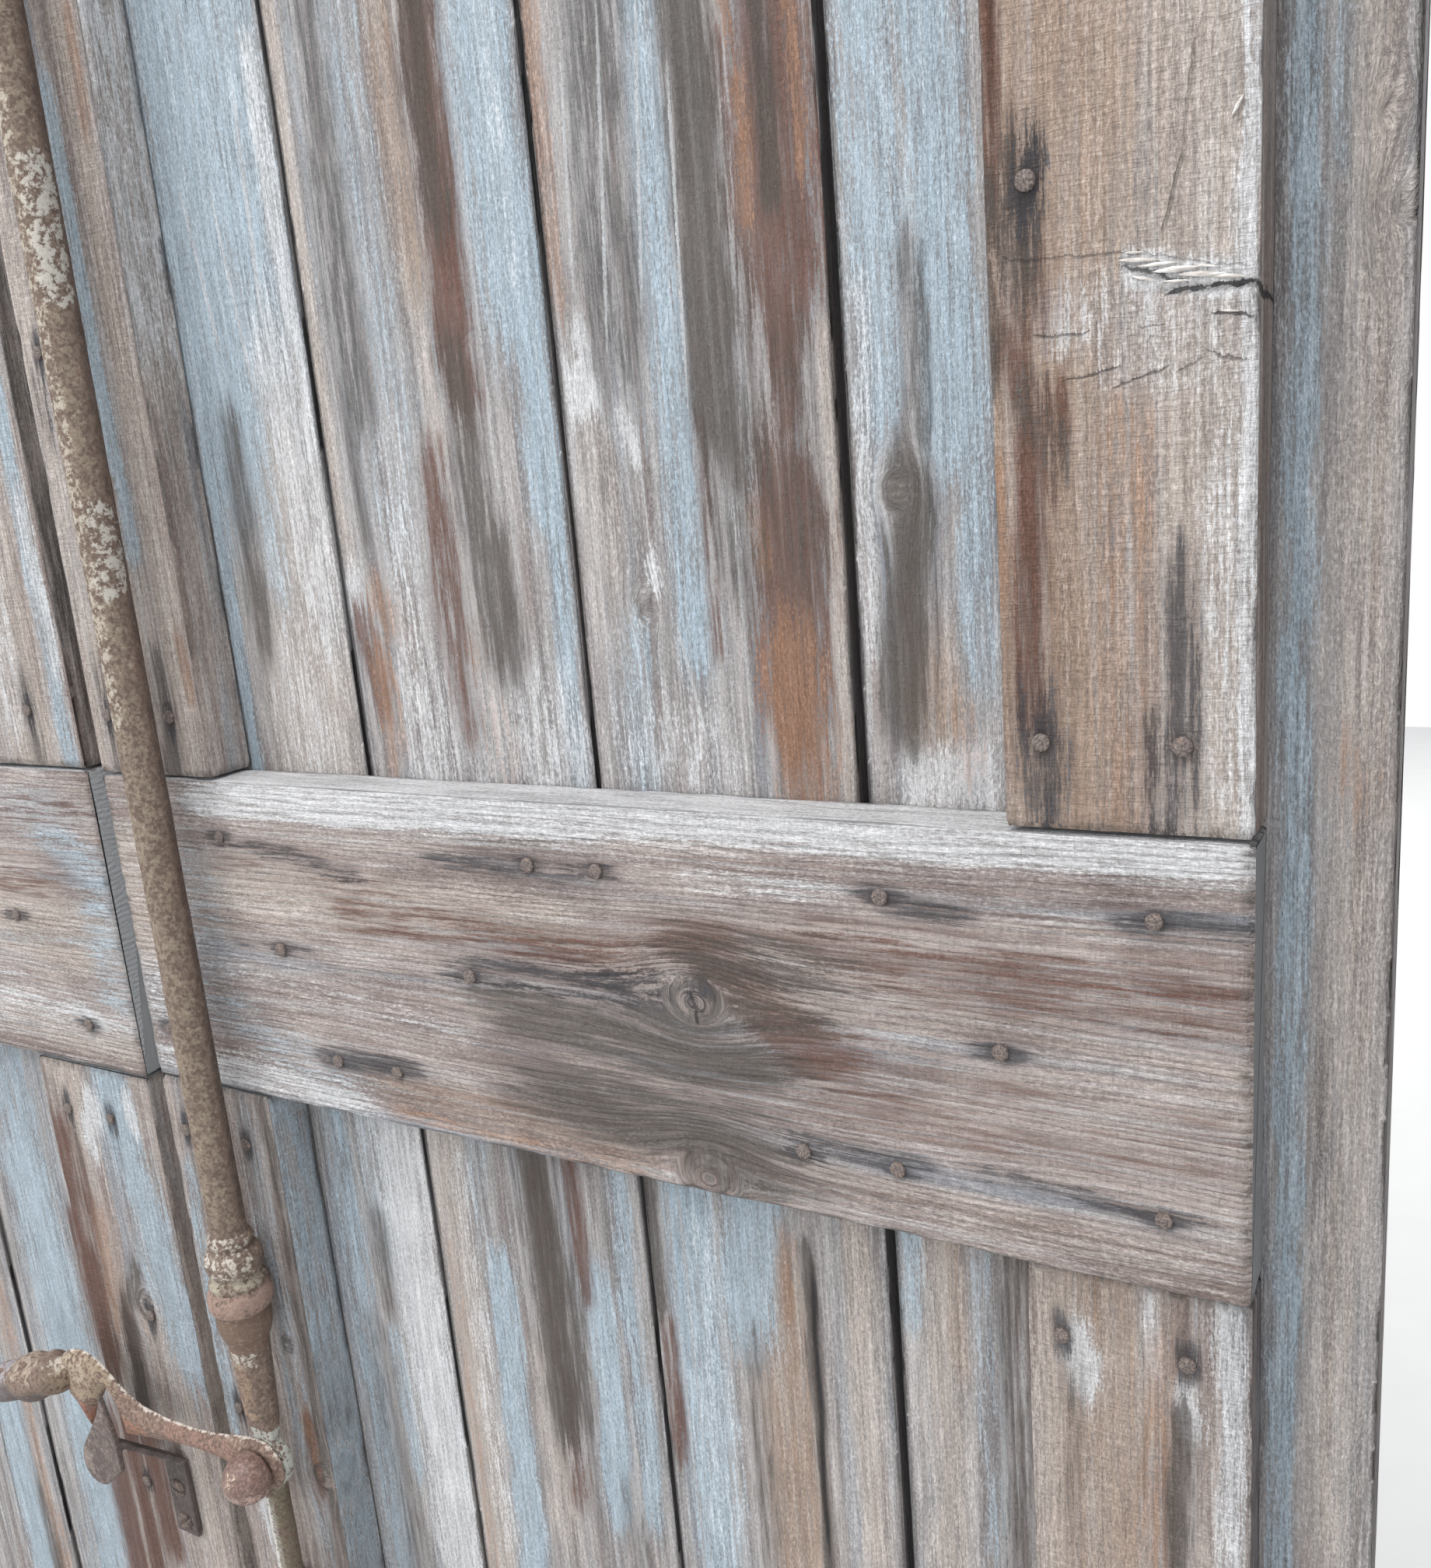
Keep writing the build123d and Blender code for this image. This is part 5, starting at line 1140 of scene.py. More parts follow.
PEG_RADIUS = 5.0
PEG_XS = (540.0, 564.0)
PEG_END = ((0.05, 0.3), (0.1, 4.3), (0.7, 4.9), (20.0, PEG_RADIUS))     # depth in the end and radius
peg_low, peg_high = node_box("frame_pegs")
pegs = []
for x in PEG_XS:
    for z in (peg_low[2] + PEG_RADIUS, peg_high[2] - PEG_RADIUS):
        for side in (-1, 1):
            rows = [(peg_low[1] + depth, radius) for depth, radius in PEG_END]
            rows += [(peg_high[1] - depth, radius) for depth, radius in PEG_END[::-1]]
            pegs.append(turned(1, (side * x, 0, z), rows))
pegs = bars("frame_pegs_oak", pegs, 10, 0.5, 0.25, peg_finish)
new_piece(pegs, "frame", "frame_wood", "frame_pegs")

# Where the right leaf's upper hinge stile has split, thin splinters of clean wood stand up from
# the crack, torn out when the leaf was last forced. They are still nearly white.
torn_finish, start = start_finish("torn pine")
fibres = (place_in_object(start) * (0.15, 1.0, 1.0)).noise(1.6, 3.0, 0.6)
colour = mixed(start, fibres.rise(0.35, 0.65), shade(196, 188, 180), shade(240, 238, 234))
end_finish(start, colour, 0.9, fibres, 0.0004)
# Each from one end to the other: X, Z, X, Z and half height
SPLINTERS = (
    (436.5, 983.6, 447.5, 982.4, 0.7), (441, 981.6, 452, 981.2, 0.6), (445, 979.8, 457, 979.6, 0.9),
    (451, 978.4, 463, 977.2, 0.8), (457, 977.4, 467.5, 975.9, 0.7), (440, 979.4, 446, 977.6, 0.6),
    (447, 977.2, 455, 976.6, 0.5), (455, 980.2, 461, 979.0, 0.5), (463.4, 1011.8, 466.6, 1016.6, 0.8),
    (438, 985.2, 444, 984.6, 0.4), (461, 968.9, 466, 968.1, 0.4))
# Share of a splinter's length, and of its half height there
SPLINTER_SHAPE = ((0.0, 0.1), (0.15, 0.6), (0.45, 1.0), (0.75, 0.7), (1.0, 0.12))
slivers = []
for x0, z0, x1, z1, half in SPLINTERS:
    sliver = []
    for share, thick in SPLINTER_SHAPE:
        lifted = FRAMING_FACE + 0.25 - 0.5 * share
        sliver.append((x0 + (x1 - x0) * share, lifted, z0 + (z1 - z0) * share,
                       half * thick * 0.5, half * thick * 0.7, half * thick, 0.7))
    slivers.append(sliver)
new_piece(bars("right_stile_splinters", slivers, 6, 1.5, 0.3, torn_finish), "right_leaf", "framing_wood")

# Round-headed nails hold a leaf's two layers together. They are driven from the room side and
# bent over along the grain outdoors, and their heads have rusted to a dull grey-brown.


def rusted(name, body, dark, scale=1.0, patches=(), remains=shade(192, 184, 170), depth=0.0007,
           roughness=0.82, bloom=0.5):
    """Forged iron: pitted rust in two tones, patches of other rust, of paint, and of painted light and
    shade in boxes of the shared frame, each (tone, cover, X range, Y range, Z range, softness), and a pale
    worn rim."""
    finish, start = start_finish(name)
    spot = place_in_object(start)
    x, y, z = spot.parts()
    rim = start.node("ShaderNodeAttribute", {"attribute_name": "rim"}, None, 2)
    broad = spot.noise(0.07 * scale, 3.0, 0.6)
    crust = spot.noise(0.22 * scale, 4.0, 0.65, 0.3)
    pits = spot.noise(0.6 * scale, 4.0, 0.65)
    grit = spot.noise(2.2 * scale, 3.0, 0.65)
    flake = (crust * 0.5 + pits * 0.35 + grit * 0.15).rise(0.36, 0.64)
    colour = mixed(start, pits.rise(0.36, 0.64), dark, body)
    bloomed = (crust * 0.7 + broad * 0.3).rise(0.48, 0.68) * bloom
    colour = mixed(start, bloomed, colour, shade(158, 132, 116))
    for tone, cover, xs, ys, zs, soft in patches:
        inside = 1.0
        for wire, ends in ((x, xs), (y, ys), (z, zs)):
            if ends:
                inside = within(wire, ends[0], ends[1], soft) * inside
        colour = mixed(start, (flake + inside * cover - 1).rise(0.0, 0.35) * 0.85, colour, tone)
    fleck = (pits * 0.55 + grit * 0.45).rise(0.53, 0.62)
    colour = mixed(start, fleck * crust.rise(0.42, 0.6) * 0.4, colour, remains)
    colour = mixed(start, (rim * 0.75 + flake - 0.95).rise(0.0, 0.4) * 0.8, colour, shade(212, 203, 192))
    value = 0.68 + grit * 0.34 + pits * 0.3
    colour = value.over(colour, 1.0, "MULTIPLY")
    height = pits * 0.8 + grit * 0.25 + crust * 0.7
    end_finish(start, colour, roughness, height, depth, 0.8)
    return finish


def head_shape(name, radius, height, sink, rows, slot=0.0, cut=0.0, flat=0.3):
    """A fastener's head drawn upwards from its seat: domed, with a skirt sunk below the seat and,
    for a screw, a slot filed across it."""
    rim = np.cos(np.linspace(math.pi, 0, rows))
    columns = list(radius * rim)
    if slot:
        half = [slot / 2, slot / 2 + 0.05, 0.5 * radius, 0.8 * radius, radius]
        columns = [-a for a in half[::-1]] + half
    shell = bmesh.new()
    grid = []
    for a in columns:
        chord = math.sqrt(max(radius ** 2 - a ** 2, 0.0))
        line = []
        for share in rim:
            b = chord * share
            bulge = math.sqrt(max(1 - (a * a + b * b) / radius ** 2, 0.0))
            rise = height * (flat + (1 - flat) * bulge)
            if slot and abs(a) <= slot / 2 + 0.01:
                rise -= cut
            line.append(shell.verts.new((a * MM, b * MM, rise * MM)))
        grid.append(line)
    for line, other in zip(grid, grid[1:]):
        for number in range(rows - 1):
            shell.faces.new((line[number], other[number], other[number + 1], line[number + 1]))
    bmesh.ops.remove_doubles(shell, verts=shell.verts, dist=1e-6)
    bmesh.ops.dissolve_degenerate(shell, edges=shell.edges, dist=1e-7)
    edges = [edge for edge in shell.edges if edge.is_boundary]
    lower = bmesh.ops.extrude_edge_only(shell, edges=edges)["geom"]
    for one in lower:
        if isinstance(one, bmesh.types.BMVert):
            one.co.z = -sink * MM
    bmesh.ops.holes_fill(shell, edges=[edge for edge in shell.edges if edge.is_boundary], sides=0)
    bmesh.ops.recalc_face_normals(shell, faces=shell.faces)
    return bpy.data.objects.new(name, finished_mesh(shell, name))


head_tree, start, given = start_tree("heads on their seats", {
    "Head": "Object", "Turn": "Float", "Smallest": "Float", "Seed": "Int", "Spacing": "Float",
    "Depth": "Float", "Finish": "Material"})
shape = start.node("GeometryNodeObjectInfo", None, {0: given["Head"]}, 4)
facing = start.node("GeometryNodeInputNamedAttribute", {"data_type": "FLOAT_VECTOR"}, {0: "facing"})
stood = start.node("FunctionNodeAlignRotationToVector", {"axis": "Z"}, {2: facing})
angle = start.node("FunctionNodeRandomValue", {"data_type": "FLOAT"},
                   {2: 0.0, 3: given["Turn"], 8: given["Seed"]}, 1)
spin = start.node("FunctionNodeAxisAngleToRotation", None, {0: (0.0, 0.0, 1.0), 1: angle})
stood = start.node("FunctionNodeRotateRotation", {"rotation_space": "LOCAL"}, {0: stood, 1: spin})
grown = start.node("FunctionNodeRandomValue", {"data_type": "FLOAT"},
                   {2: given["Smallest"], 3: 1.0, 8: given["Seed"]}, 1)
heads = start.node("GeometryNodeInstanceOnPoints", None, {0: given["Places"], 2: shape, 5: stood, 6: grown})
heads = start.node("GeometryNodeRealizeInstances", None, {0: heads})
end_tree(start, roughen(start, heads, given["Spacing"], given["Depth"]), given["Finish"])


def set_heads(name, head, places, turn, smallest, seed, depth, finish):
    """Heads at places, each (X, Y, Z, facing vector), turned at random up to the given angle."""
    carrier = bpy.data.meshes.new(name)
    carrier.from_pydata([(x * MM, y * MM, z * MM) for x, y, z, facing in places], [], [])
    add_values(carrier, "facing", "FLOAT_VECTOR", [place[3] for place in places])
    values = {"Head": head, "Turn": turn, "Smallest": smallest, "Seed": seed, "Spacing": 0.9,
              "Depth": depth, "Finish": finish}
    mesh = run_tree(name, carrier, head_tree, values)
    bpy.data.objects.remove(head)
    return mesh


def joined(name, *meshes):
    """Several meshes of one piece as one."""
    shell = bmesh.new()
    for mesh in meshes:
        shell.from_mesh(mesh)
    whole = finished_mesh(shell, name)
    whole.materials.clear()
    whole.materials.append(meshes[0].materials[0])
    whole.shade_smooth()
    return whole


NAIL_HEAD = (2.9, 1.0)          # radius and height
NAIL_SHANK = 1.5
# The clenched end: depth behind the boards, drop, half width, half depth, half height, roundness
CLENCHED_NAIL = (
    (-3.0, 1.5, 1.4, 1.4, 1.4, 0.7), (-0.8, 1.5, 1.4, 1.2, 1.4, 0.7),
    (0.45 * NAIL_SHANK, 2.4, 1.4, 0.7, 0.7, 0.7), (0.45 * NAIL_SHANK, 5.5, 1.2, 0.65, 0.65, 0.7),
    (0.45 * NAIL_SHANK - 0.2, 9.0, 0.5, 0.4, 0.4, 0.8))
ROOM_WARD, OUT_WARD = (0.0, -1.0, 0.0), (0.0, 1.0, 0.0)
ANY_TURN = 6.28
nail_finish = rusted("nail iron", shade(132, 120, 114), shade(82, 74, 72), 2.2, depth=0.0004, bloom=0.35)
for number, leaf in enumerate(("right", "left")):
    head = head_shape("nail head", *NAIL_HEAD, 0.9, 7, flat=0.45)
    places = [(x, y + NAIL_HEAD[1], z, ROOM_WARD) for x, y, z in nail_spots[leaf]]
    heads = set_heads(f"{leaf}_nail_heads", head, places, ANY_TURN, 0.9, number, 0.3, nail_finish)
    points = [[(x, BOARD_BACK + depth, z - drop, *size) for depth, drop, *size in CLENCHED_NAIL]
              for x, y, z in nail_spots[leaf]]
    clenched = bars(f"{leaf}_nail_points", points, 8, 0.9, 0.1, nail_finish)
    nails = joined(f"{leaf}_nails_forged", heads, clenched)
    new_piece(nails, board_bodies[leaf], "small_iron", f"{leaf}_nails")

# The espagnolette is one forged rod with a turned collar of bulb, ring and cup, a shank drawn down to a
# flat tang, and a thinner rod below. Khaki and cream paint is left on its room side. The pale strips down
# its left side are partly that paint and partly painted highlight, and its back and right side are darkened
# as painted shade.
ROD_X, ROD_Y = 53.0, -37.0
ROD_RADIUS, LOWER_ROD_RADIUS = 8.0, 5.5
ROD_FOOT, ROD_TOP = 70.0, 1458.0
COLLAR_TOP = 633.0
PIVOT_Z = 518.0
TANG_HALF_THICKNESS, TANG_RADIUS = 3.5, 12.5
TANG_FOOT, TANG_TOP = 504.0, 538.0
SHANK_TOP, SHANK_TOP_RADIUS, SHANK_FOOT_RADIUS = 578.0, 9.0, 7.2
STOP_RING = (424.0, 430.0, 9.5)
# Distance below the collar's top, and radius
COLLAR = (
    (-6, 8.0), (-1.2, 8.0), (-0.4, 8.7), (0.6, 9.6), (2.0, 10.1), (3.4, 9.7), (4.6, 8.9), (5.4, 9.0),
    (6.4, 10.6), (8.0, 11.9), (10.5, 12.7), (12.5, 12.8), (15.0, 12.3), (17.0, 11.3), (18.6, 10.5),
    (19.4, 10.9), (20.6, 12.2), (22.0, 12.6), (23.2, 12.2), (24.2, 11.8), (25.0, 12.6), (26.6, 13.7),
    (29.0, 14.2), (31.8, 14.2), (34.0, 13.6), (35.4, 12.4), (36.2, 11.5), (37.2, 11.7), (39.0, 12.1),
    (42.0, 12.1), (45.5, 11.6), (48.6, 10.7), (50.8, 9.8), (52.4, 9.1), (56.0, 8.9))
# Highest and lowest cross section of each part of the rod, and the space between two
ROD_RUNS = (
    (ROD_TOP - 1, COLLAR_TOP + 6, 6.0), (COLLAR_TOP + 5, SHANK_TOP - 4, 0.55),
    (SHANK_TOP - 4, TANG_TOP + 3, 2.5), (TANG_TOP + 2.5, TANG_FOOT - 4, 0.7),
    (TANG_FOOT - 5, STOP_RING[1] + 2, 4.0), (STOP_RING[0] - 2, ROD_FOOT + 2, 6.0))
# Distance from the rod's end and radius
TOP_END = ((0.02, 0.3), (0.05, 6.6), (0.6, 7.7))
FOOT_END = ((0.8, 5.2), (0.1, 4.2), (0.02, 0.3))
# Distance from the rod, half thickness and half height of its end tongues
TONGUE_SHAPE = (
    (0.0, 3.4, 6.9), (-12.0, 3.4, 6.9), (-34.0, 3.3, 6.6), (-42.0, 2.9, 5.9), (-44.4, 2.0, 4.4),
    (-44.9, 0.3, 0.4))
TONGUE_IN = 7.0                 # from the rod's end to the tongue's middle


def rod_radius(z):
    """The rod's radius at a height, before its tang is beaten flat."""
    if z >= COLLAR_TOP + 6:
        return ROD_RADIUS
    if z >= SHANK_TOP:
        drops, radii = zip(*COLLAR)
        return float(np.interp(COLLAR_TOP - z, drops, radii))
    if z >= TANG_FOOT:
        swell = SHANK_TOP_RADIUS - SHANK_FOOT_RADIUS
        drawn = SHANK_FOOT_RADIUS + swell * (z - TANG_TOP) / (SHANK_TOP - TANG_TOP)
        return max(LOWER_ROD_RADIUS, drawn)
    return LOWER_ROD_RADIUS


stations = [z for top, foot, space in ROD_RUNS for z in np.arange(top, foot, -space)]
rod_path = turned(2, (ROD_X, ROD_Y, 0), [(ROD_TOP - drop, radius) for drop, radius in TOP_END])
for z in stations:
    radius = rod_radius(z)
    disc = math.sqrt(max(TANG_RADIUS ** 2 - (z - PIVOT_Z) ** 2, 0.0))
    flat = min(max((z - TANG_FOOT + 1.5) / 3.0, 0.0), max((TANG_TOP + 1.5 - z) / 3.0, 0.0), 1.0)
    wide = max(radius, disc)
    thick = radius + (TANG_HALF_THICKNESS - radius) * flat
    rod_path.append((ROD_X, ROD_Y, z, wide, thick, wide, 1.0 - 0.6 * flat))
rod_path += turned(2, (ROD_X, ROD_Y, 0), [(ROD_FOOT + rise, radius) for rise, radius in FOOT_END])
low, high, radius = STOP_RING
ring_rows = [(low + 0.02, 4.0), (low + 0.1, radius - 1.2), (low + 1.2, radius - 0.1),
             (high - 1.2, radius - 0.1), (high - 0.1, radius - 1.2), (high - 0.02, 4.0)]
tongues = [[(ROD_X + reach, ROD_Y, z, tall, thin, tall, 0.35) for reach, thin, tall in TONGUE_SHAPE]
           for z in (ROD_TOP - TONGUE_IN, ROD_FOOT + TONGUE_IN)]

CREAM, KHAKI, PINKISH = shade(186, 177, 163), shade(140, 127, 110), shade(160, 134, 122)
ROD_PAINTED_SHADE = shade(84, 68, 62)
rod_finish = rusted("espagnolette iron", shade(132, 116, 104), shade(104, 87, 77), 1.0, (
    # painted shade: the back and right side of the rod above the collar darkened
    (ROD_PAINTED_SHADE, 0.7, None, (-34.5, None), (642, None), 5.0),
    (KHAKI, 0.65, None, (None, -41.0), (640, None), 4.0),
    # cream paint on the rod's front left, also standing for painted highlight there
    (CREAM, 0.55, (None, 55.5), (None, -43.4), (860, None), 2.5),
    (shade(198, 194, 186), 0.7, (58, None), (None, -36), (1020, 1068), 6.0),
    (shade(198, 194, 186), 0.6, (58, None), (None, -36), (912, 945), 6.0),
    (shade(196, 190, 178), 0.6, None, (None, -36), (629, 634), 1.5),
    (shade(206, 200, 188), 0.5, None, (None, -37), (616, 627), 3.0),
    (shade(222, 218, 210), 0.6, (None, 50), None, (619, 626), 2.5),
    (shade(172, 164, 146), 0.7, None, None, (609, 616), 2.0),
    (PINKISH, 0.95, None, None, (598.5, 608.5), 1.2),
    (shade(118, 96, 82), 0.9, None, None, (579, 597), 1.5),
    (shade(196, 190, 178), 0.7, None, (None, -42), (571, 577), 2.5),
    (shade(146, 122, 102), 0.7, (None, 56), None, (545, 572), 4.0),
    (shade(190, 192, 184), 0.85, None, None, (506, 534), 4.0),
    # the lower rod: a white strip down its front left, partly paint and partly painted highlight, and its
    # right side darkened as painted shade
    (shade(218, 217, 212), 0.85, (None, 55.0), (None, -39), (330, 500), 1.6),
    (shade(112, 104, 84), 0.75, (54.0, None), None, (300, 505), 2.5)), depth=0.0009)
paths = [rod_path, turned(2, (ROD_X, ROD_Y, 0), ring_rows)] + tongues
rod = bars("espagnolette_rod_forged", paths, 32, 0.5, 0.5, rod_finish)
new_piece(rod, "rod", "bolt_iron", "espagnolette_rod")

# A ball-headed pin passes through the lever's eye and the tang and is riveted over behind. The ball is
# polished brown by hands. A cream spot on its upper front is painted highlight, and a lighter band across
# its lower front is painted reflected light.
PIN_SEAT, BALL_RADIUS, BALL_MIDDLE = -45.9, 11.4, -50.4
TANG_BACK = ROD_Y + TANG_HALF_THICKNESS
last_angle = math.pi - math.acos((PIN_SEAT - BALL_MIDDLE) / BALL_RADIUS)
rows = [(BALL_MIDDLE - BALL_RADIUS * math.cos(turn), BALL_RADIUS * math.sin(turn))
        for turn in np.linspace(0.04, last_angle, 22)]
rows += [(PIN_SEAT + 0.02, 9.6), (PIN_SEAT + 0.05, 3.5), (TANG_BACK - 0.1, 3.5), (TANG_BACK - 0.05, 5.9),
         (TANG_BACK + 1.0, 6.0), (TANG_BACK + 1.9, 5.0), (TANG_BACK + 2.4, 2.6), (TANG_BACK + 2.45, 0.3)]
ball_finish = rusted("pivot ball", shade(140, 112, 102), shade(104, 82, 76), 1.3, (
    # painted highlight: a cream spot on the ball's upper front
    (shade(206, 190, 170), 0.55, (51, 55), (-64, -55), (521, 525), 2.0),
    # painted reflected light: a lighter band across the ball's lower front
    (shade(182, 154, 142), 0.7, (42, 64), (-64, -48), (506, 514), 4.0)), depth=0.0003, roughness=0.45)
pin = bars("lever_pivot_ball", [turned(1, (ROD_X, 0, PIVOT_Z), rows)], 36, 0.4, 0.3, ball_finish)
new_piece(pin, "rod", "bolt_iron", "lever_pivot_pin")

# The lever is forged in one piece: a round eye, a drawn-out arm, a crested head whose pointed lobe drops
# into the keep, and a turned knob. Its upper ridge is worn pale by hands, and the underside of its knob is
# darkened as painted shade.


def merged(node):
    """A CAD node's shape with its doubled points merged, ready to be worked on."""
    shell = bmesh.new()
    shell.from_mesh(nodes[node].data)
    bmesh.ops.remove_doubles(shell, verts=shell.verts, dist=1e-5)
    return shell


def forged(name, node, grid, depth, pitch, finish, reach=0.0, crown=0.0):
    """A CAD node as the smith leaves it: merged, its arrises worn and its faces uneven. Crown
    slopes the room side of the lever back towards its outline, over the given reach."""
    shell = merged(node)
    rim = []
    for edge in shell.edges:
        leans = sorted(face.normal.y for face in edge.link_faces)
        if len(leans) == 2 and leans[1] > 0.99 and leans[0] < 0.9:
            rim.append([(vertex.co.x / MM, vertex.co.z / MM) for vertex in edge.verts])
    holder = set_up(name, finished_mesh(shell, name))
    remesh = holder.modifiers.new("even faces", "REMESH")
    remesh.mode = "VOXEL"
    remesh.voxel_size = grid * MM
    mesh = carried_out(holder)
    bpy.data.objects.remove(holder)
    shell = bmesh.new()
    shell.from_mesh(mesh)
    for _ in range(3):
        bmesh.ops.smooth_vert(shell, verts=shell.verts, factor=0.5, use_axis_x=True, use_axis_y=True,
                              use_axis_z=True)
    shell.to_mesh(mesh)
    shell.free()
    count = len(mesh.vertices)
    points, outward = np.zeros(count * 3), np.zeros(count * 3)
    mesh.vertices.foreach_get("co", points)
    mesh.vertices.foreach_get("normal", outward)
    points, outward = points.reshape(-1, 3) / MM, outward.reshape(-1, 3)
    seed = len(name)
    u, v = points[:, 0] + 0.4 * points[:, 1], points[:, 2] + 0.6 * points[:, 1]
    wear = 0.7 * uneven(u / pitch, v / pitch, seed)
    wear += 0.3 * uneven(u * 2.7 / pitch, v * 2.7 / pitch, seed + 1)
    points -= outward * ((wear + 0.35) * depth)[:, None]
    worn = np.zeros(count)
    if crown:
        rim = np.array(rim)
        gap = np.full(count, 99.0)
        flat = points[:, [0, 2]]
        for first, last in rim:
            along = last - first
            share = np.clip(((flat - first) @ along) / max((along ** 2).sum(), 1e-9), 0, 1)
            gap = np.minimum(gap, np.hypot(*(flat - first - share[:, None] * along).T))
        front = np.clip((LEVER_BACK - points[:, 1]) / 5.0, 0, 1.0) * (points[:, 1] < LEVER_BACK + 0.5)
        points[:, 1] += front * crown * (1 - np.clip(gap / reach, 0, 1)) ** 2.2
        worn = np.exp(-(gap / 3.4) ** 2) * np.clip(outward[:, 2] * 1.3, 0, 1)
    mesh.vertices.foreach_set("co", (points * MM).ravel())
    add_values(mesh, "rim", "FLOAT", worn)
    mesh.materials.clear()
    mesh.materials.append(finish)
    mesh.shade_smooth()
    mesh.name = name
    return mesh


LEVER_BACK = -40.7


def from_pivot(x0, x1, z0, z1):
    """A box given from the pivot, X to the left of it negative."""
    ends = ((x0, ROD_X), (x1, ROD_X), (z0, PIVOT_Z), (z1, PIVOT_Z))
    left, right, foot, top = [None if one is None else one + middle for one, middle in ends]
    return (left, right), None, (foot, top)


lever_finish = rusted("lever iron", shade(144, 120, 107), shade(102, 84, 75), 1.0, (
    (shade(158, 142, 120), 0.75, *from_pivot(-140, -100, 2, 30), 8.0),
    (shade(180, 166, 146), 0.6, *from_pivot(-138, -118, 12, 30), 6.0),
    (shade(150, 100, 82), 0.8, *from_pivot(-134, -116, -24, -5), 5.0),
    (shade(160, 112, 90), 0.7, *from_pivot(-106, -80, -18, -4), 6.0),
    (shade(146, 114, 102), 0.75, *from_pivot(-60, 0, -14, 3), 8.0),
    (shade(130, 114, 102), 0.8, *from_pivot(-176, -141, -30, 30), 6.0),
    (shade(176, 160, 144), 0.65, *from_pivot(-176, -150, 6, 30), 6.0),
    (shade(168, 164, 170), 0.8, *from_pivot(None, -178, None, None), 8.0),
    # painted shade: the underside of the knob darkened
    (shade(96, 90, 92), 0.85, *from_pivot(None, -142, None, -5), 6.0)), depth=0.0009)
lever = forged("lever_handle_forged", "lever_handle", 0.8, 0.4, 7.0, lever_finish, 9.0, 4.5)
new_piece(lever, "handle", "bolt_iron", "lever_handle")

# The lever's keep is bent from sheet iron: a base screwed to the left leaf's stile, a sloping
# shelf that the lever rests on, and a smooth grey-brown leaf turned up in front of it.
keep_finish = rusted("keep sheet iron", shade(112, 100, 95), shade(88, 78, 76), 0.8, (
    (shade(134, 122, 114), 0.7, *from_pivot(-128, -119, -40, 8), 3.0),
    # painted shadow: the keep's base and shelf behind its leaf darkened below the pivot, where the lever's
    # arm shades them
    (shade(70, 62, 62), 0.8, None, (-46, -24), (None, 505), 2.0)), depth=0.0002, roughness=0.75, bloom=0.15)
keep = forged("lever_keep_bent", "lever_keep", 0.7, 0.15, 9.0, keep_finish)
new_piece(keep, "left_leaf", "keep_iron", "lever_keep")

# Round-headed slotted wood screws hold the keep, the rod's guides, the bolt's end keeps and the
# pintle plates. They are hand-filed, so no two slots point the same way.


def screw_places(node, facing):
    """Middles of a node's screw heads where they meet their seat, found from the CAD's box of each."""
    shell = merged(node)
    found = []
    left = dict.fromkeys(shell.verts)
    while left:
        reached = [left.popitem()[0]]
        group = list(reached)
        while reached:
            for edge in reached.pop().link_edges:
                for vertex in edge.verts:
                    if vertex in left:
                        del left[vertex]
                        reached.append(vertex)
                        group.append(vertex)
        spots = np.array([vertex.co for vertex in group]) / MM
        if len(spots) < 12:
            continue
        way = np.array(facing(spots.mean(0)))
        front = (spots @ way).max()
        middle = (spots.max(0) + spots.min(0)) / 2
        seat = middle - way * (middle @ way) + way * (front - SCREW_HEAD[1])
        found.append((*seat, tuple(way)))
    shell.free()
    return found


SCREW_HEAD = (5.0, 2.0)         # radius and height
screw_finish = rusted("screw iron", shade(120, 106, 98), shade(76, 67, 64), 1.8,
                      remains=shade(176, 172, 164), depth=0.0004)
# Node, body and the way that a screw's head faces, from the screw's middle
SCREW_SETS = (
    ("lever_keep_screws", "left_leaf", lambda middle: ROOM_WARD),
    ("guide_screws", "right_leaf", lambda middle: ROOM_WARD),
    ("bolt_keep_screws", "frame", lambda middle: (0.0, 0.0, 1.0 if middle[2] < MIDDLE else -1.0)),
    ("pintle_screws", "frame", lambda middle: OUT_WARD))
for number, (node, body, facing) in enumerate(SCREW_SETS):
    head = head_shape("screw head", *SCREW_HEAD, 0.6, 9, 1.1, 1.0, 0.25)
    heads = set_heads(f"{node}_slotted", head, screw_places(node, facing), ANY_TURN / 2, 0.96, 20 + number,
                      0.2, screw_finish)
    new_piece(heads, body, "small_iron", node)

# The rod turns in ring guides screwed to the right leaf, and its end tongues turn behind angle
# keeps on the frame. All are forged, and painted over together with the wood long ago.
guide_finish = rusted("guide iron", shade(124, 108, 98), shade(82, 70, 66), 0.9,
                      remains=shade(158, 168, 178))
hinge_finish = rusted("hinge iron", shade(104, 90, 84), shade(66, 58, 57), 0.7,
                      remains=shade(138, 146, 154), depth=0.0009, bloom=0.4)
RINGS_AND_KEEPS = (
    ("rod_guides_upper", "right_leaf", "bolt_iron"), ("rod_guides_lower", "right_leaf", "bolt_iron"),
    ("bolt_keep_head", "frame", "keep_iron"), ("bolt_keep_sill", "frame", "keep_iron"))
for node, body, slot in RINGS_AND_KEEPS:
    new_piece(forged(f"{node}_forged", node, 0.9, 0.25, 6.0, guide_finish), body, slot, node)

# Outdoors each leaf hangs on two strap hinges, drawn out thin towards their pointed tails, whose
# rolled eyes turn on pins forged onto plates. Domed bolts go through to square nuts on the rails.
for end in ("bottom", "top"):
    for leaf in ("right", "left"):
        for node, body in ((f"{leaf}_strap_{end}", board_bodies[leaf]), (f"pintle_{leaf}_{end}", "frame")):
            mesh = forged(f"{node}_forged", node, 1.2, 0.5, 11.0, hinge_finish)
            new_piece(mesh, body, "hinge_iron", node)


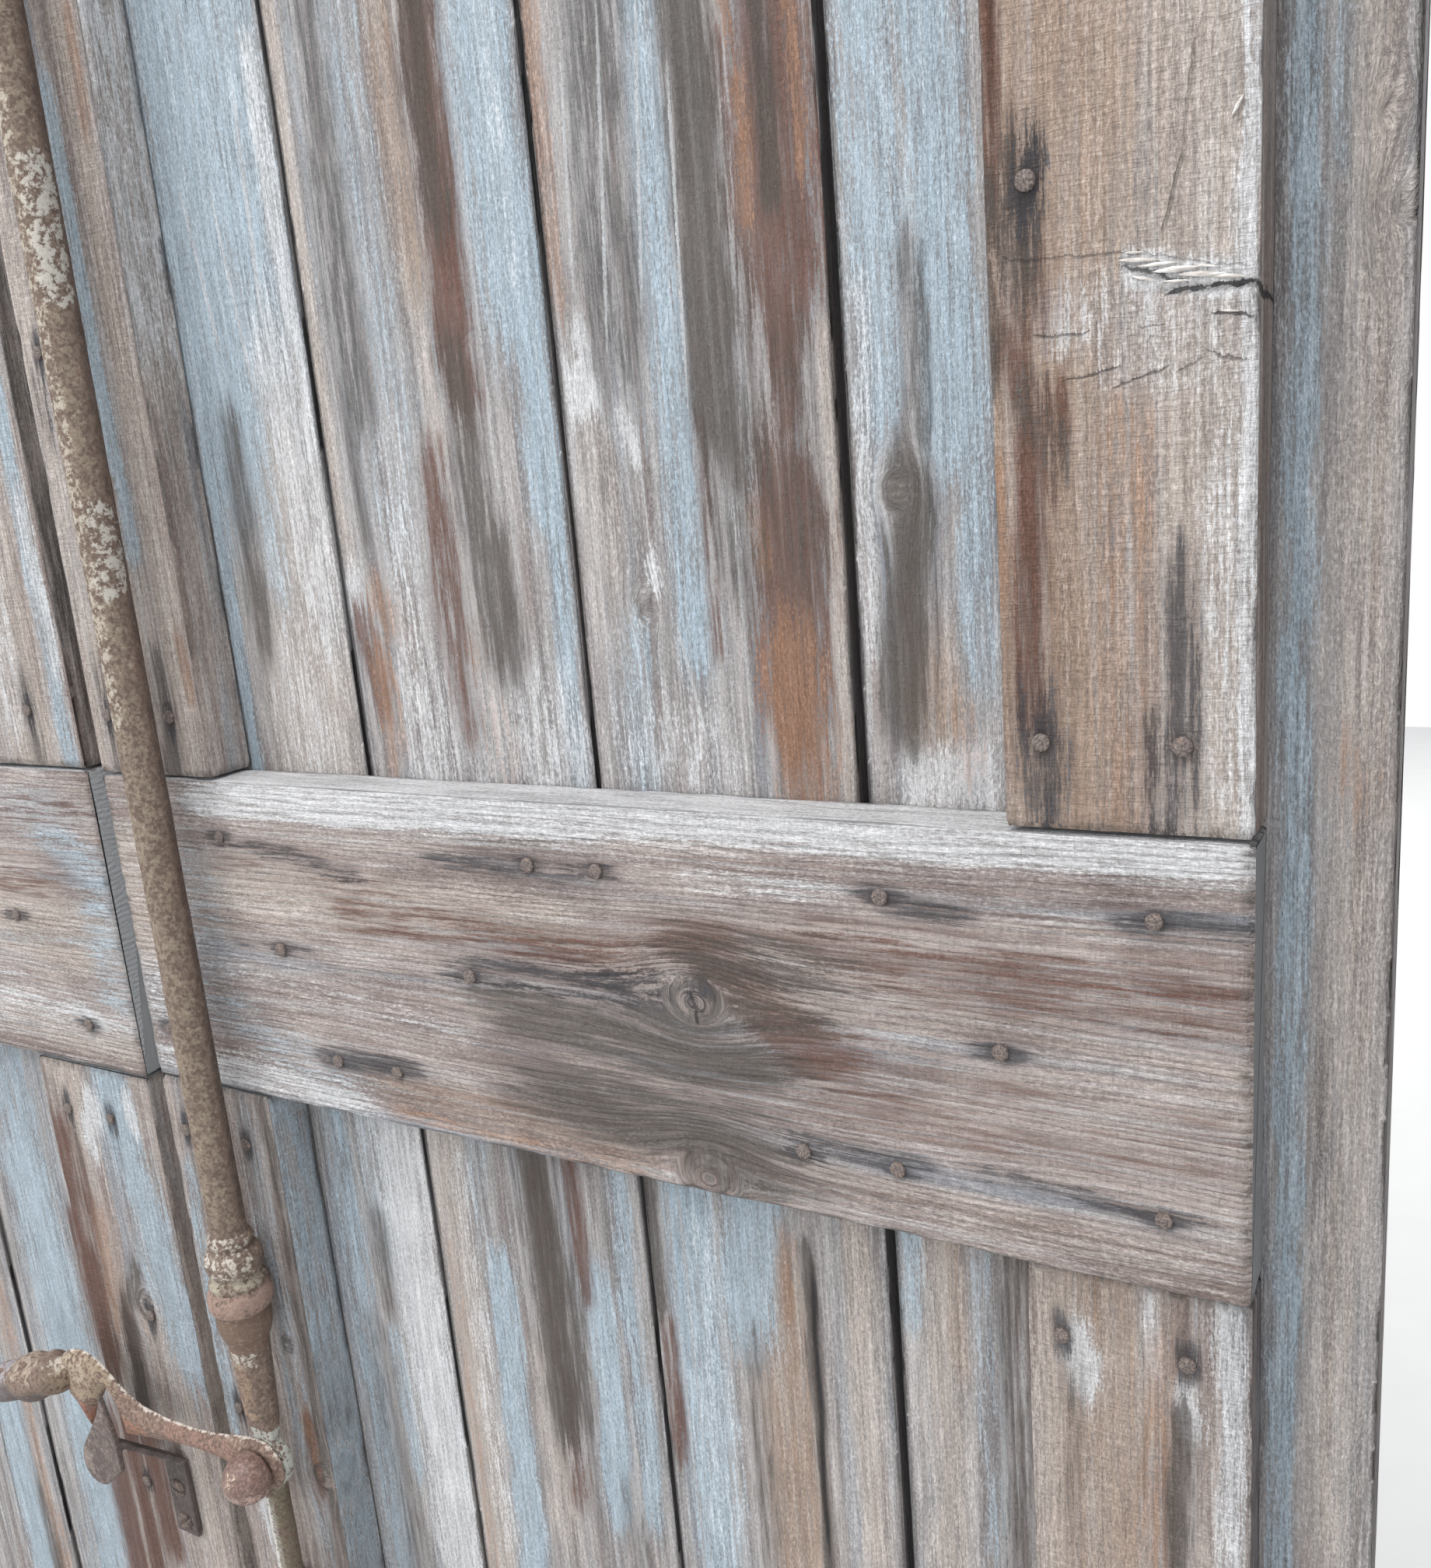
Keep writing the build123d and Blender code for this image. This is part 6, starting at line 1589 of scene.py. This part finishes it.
def nut_shape(name, width, height, bolt_radius, proud):
    """A square nut with filed corners, and the bolt's end standing out of it."""
    sides = 24
    # height and widest radius, the first two square to the filed corners
    rings = ((-0.5, 0.66 * width), (height - 1.2, 0.66 * width), (height, 0.47 * width),
             (height, bolt_radius + 0.2), (height, bolt_radius), (height + proud - 0.5, bolt_radius),
             (height + proud, bolt_radius * 0.7))
    shell = bmesh.new()
    lines = []
    for rise, radius in rings:
        line = []
        for step in range(sides):
            turn = 2 * math.pi * step / sides + math.pi / 4
            square = width / 2 / max(abs(math.cos(turn)), abs(math.sin(turn)))
            reach = min(square, radius) * MM
            line.append(shell.verts.new((reach * math.cos(turn), reach * math.sin(turn), rise * MM)))
        lines.append(line)
    for line, other in zip(lines, lines[1:]):
        for step in range(sides):
            beyond = (step + 1) % sides
            shell.faces.new((line[step], line[beyond], other[beyond], other[step]))
    shell.faces.new(lines[0][::-1])
    shell.faces.new(lines[-1])
    bmesh.ops.recalc_face_normals(shell, faces=shell.faces)
    return bpy.data.objects.new(name, finished_mesh(shell, name))


STRAP_FACE = 26.0
BOLT_HEAD = (9.0, 4.5)          # radius and height
NUT = (14.0, 6.0, 4.0, 2.0)     # width, height, the bolt's radius and how far it stands out
NUT_SPREAD = 22.0
for number, leaf in enumerate(("right", "left")):
    spots = fastener_places(f"{leaf}_strap_nuts", NUT_SPREAD)
    head = head_shape("bolt head", *BOLT_HEAD, 0.6, 11, flat=0.12)
    places = [(x, STRAP_FACE, z, OUT_WARD) for x, y, z in spots]
    mesh = set_heads(f"{leaf}_strap_bolt_domes", head, places, ANY_TURN, 0.95, 40 + number, 0.3,
                     hinge_finish)
    new_piece(mesh, board_bodies[leaf], "hinge_iron", f"{leaf}_strap_bolts")
    nut = nut_shape("square nut", *NUT)
    places = [(x, FRAMING_FACE, z, ROOM_WARD) for x, y, z in spots]
    mesh = set_heads(f"{leaf}_strap_nuts_square", nut, places, 0.5, 0.97, 50 + number, 0.25, hinge_finish)
    new_piece(mesh, board_bodies[leaf], "hinge_iron", f"{leaf}_strap_nuts")

size = {"cad": [list(corner) for corner in cad_box], "visual": [list(corner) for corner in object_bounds()]}
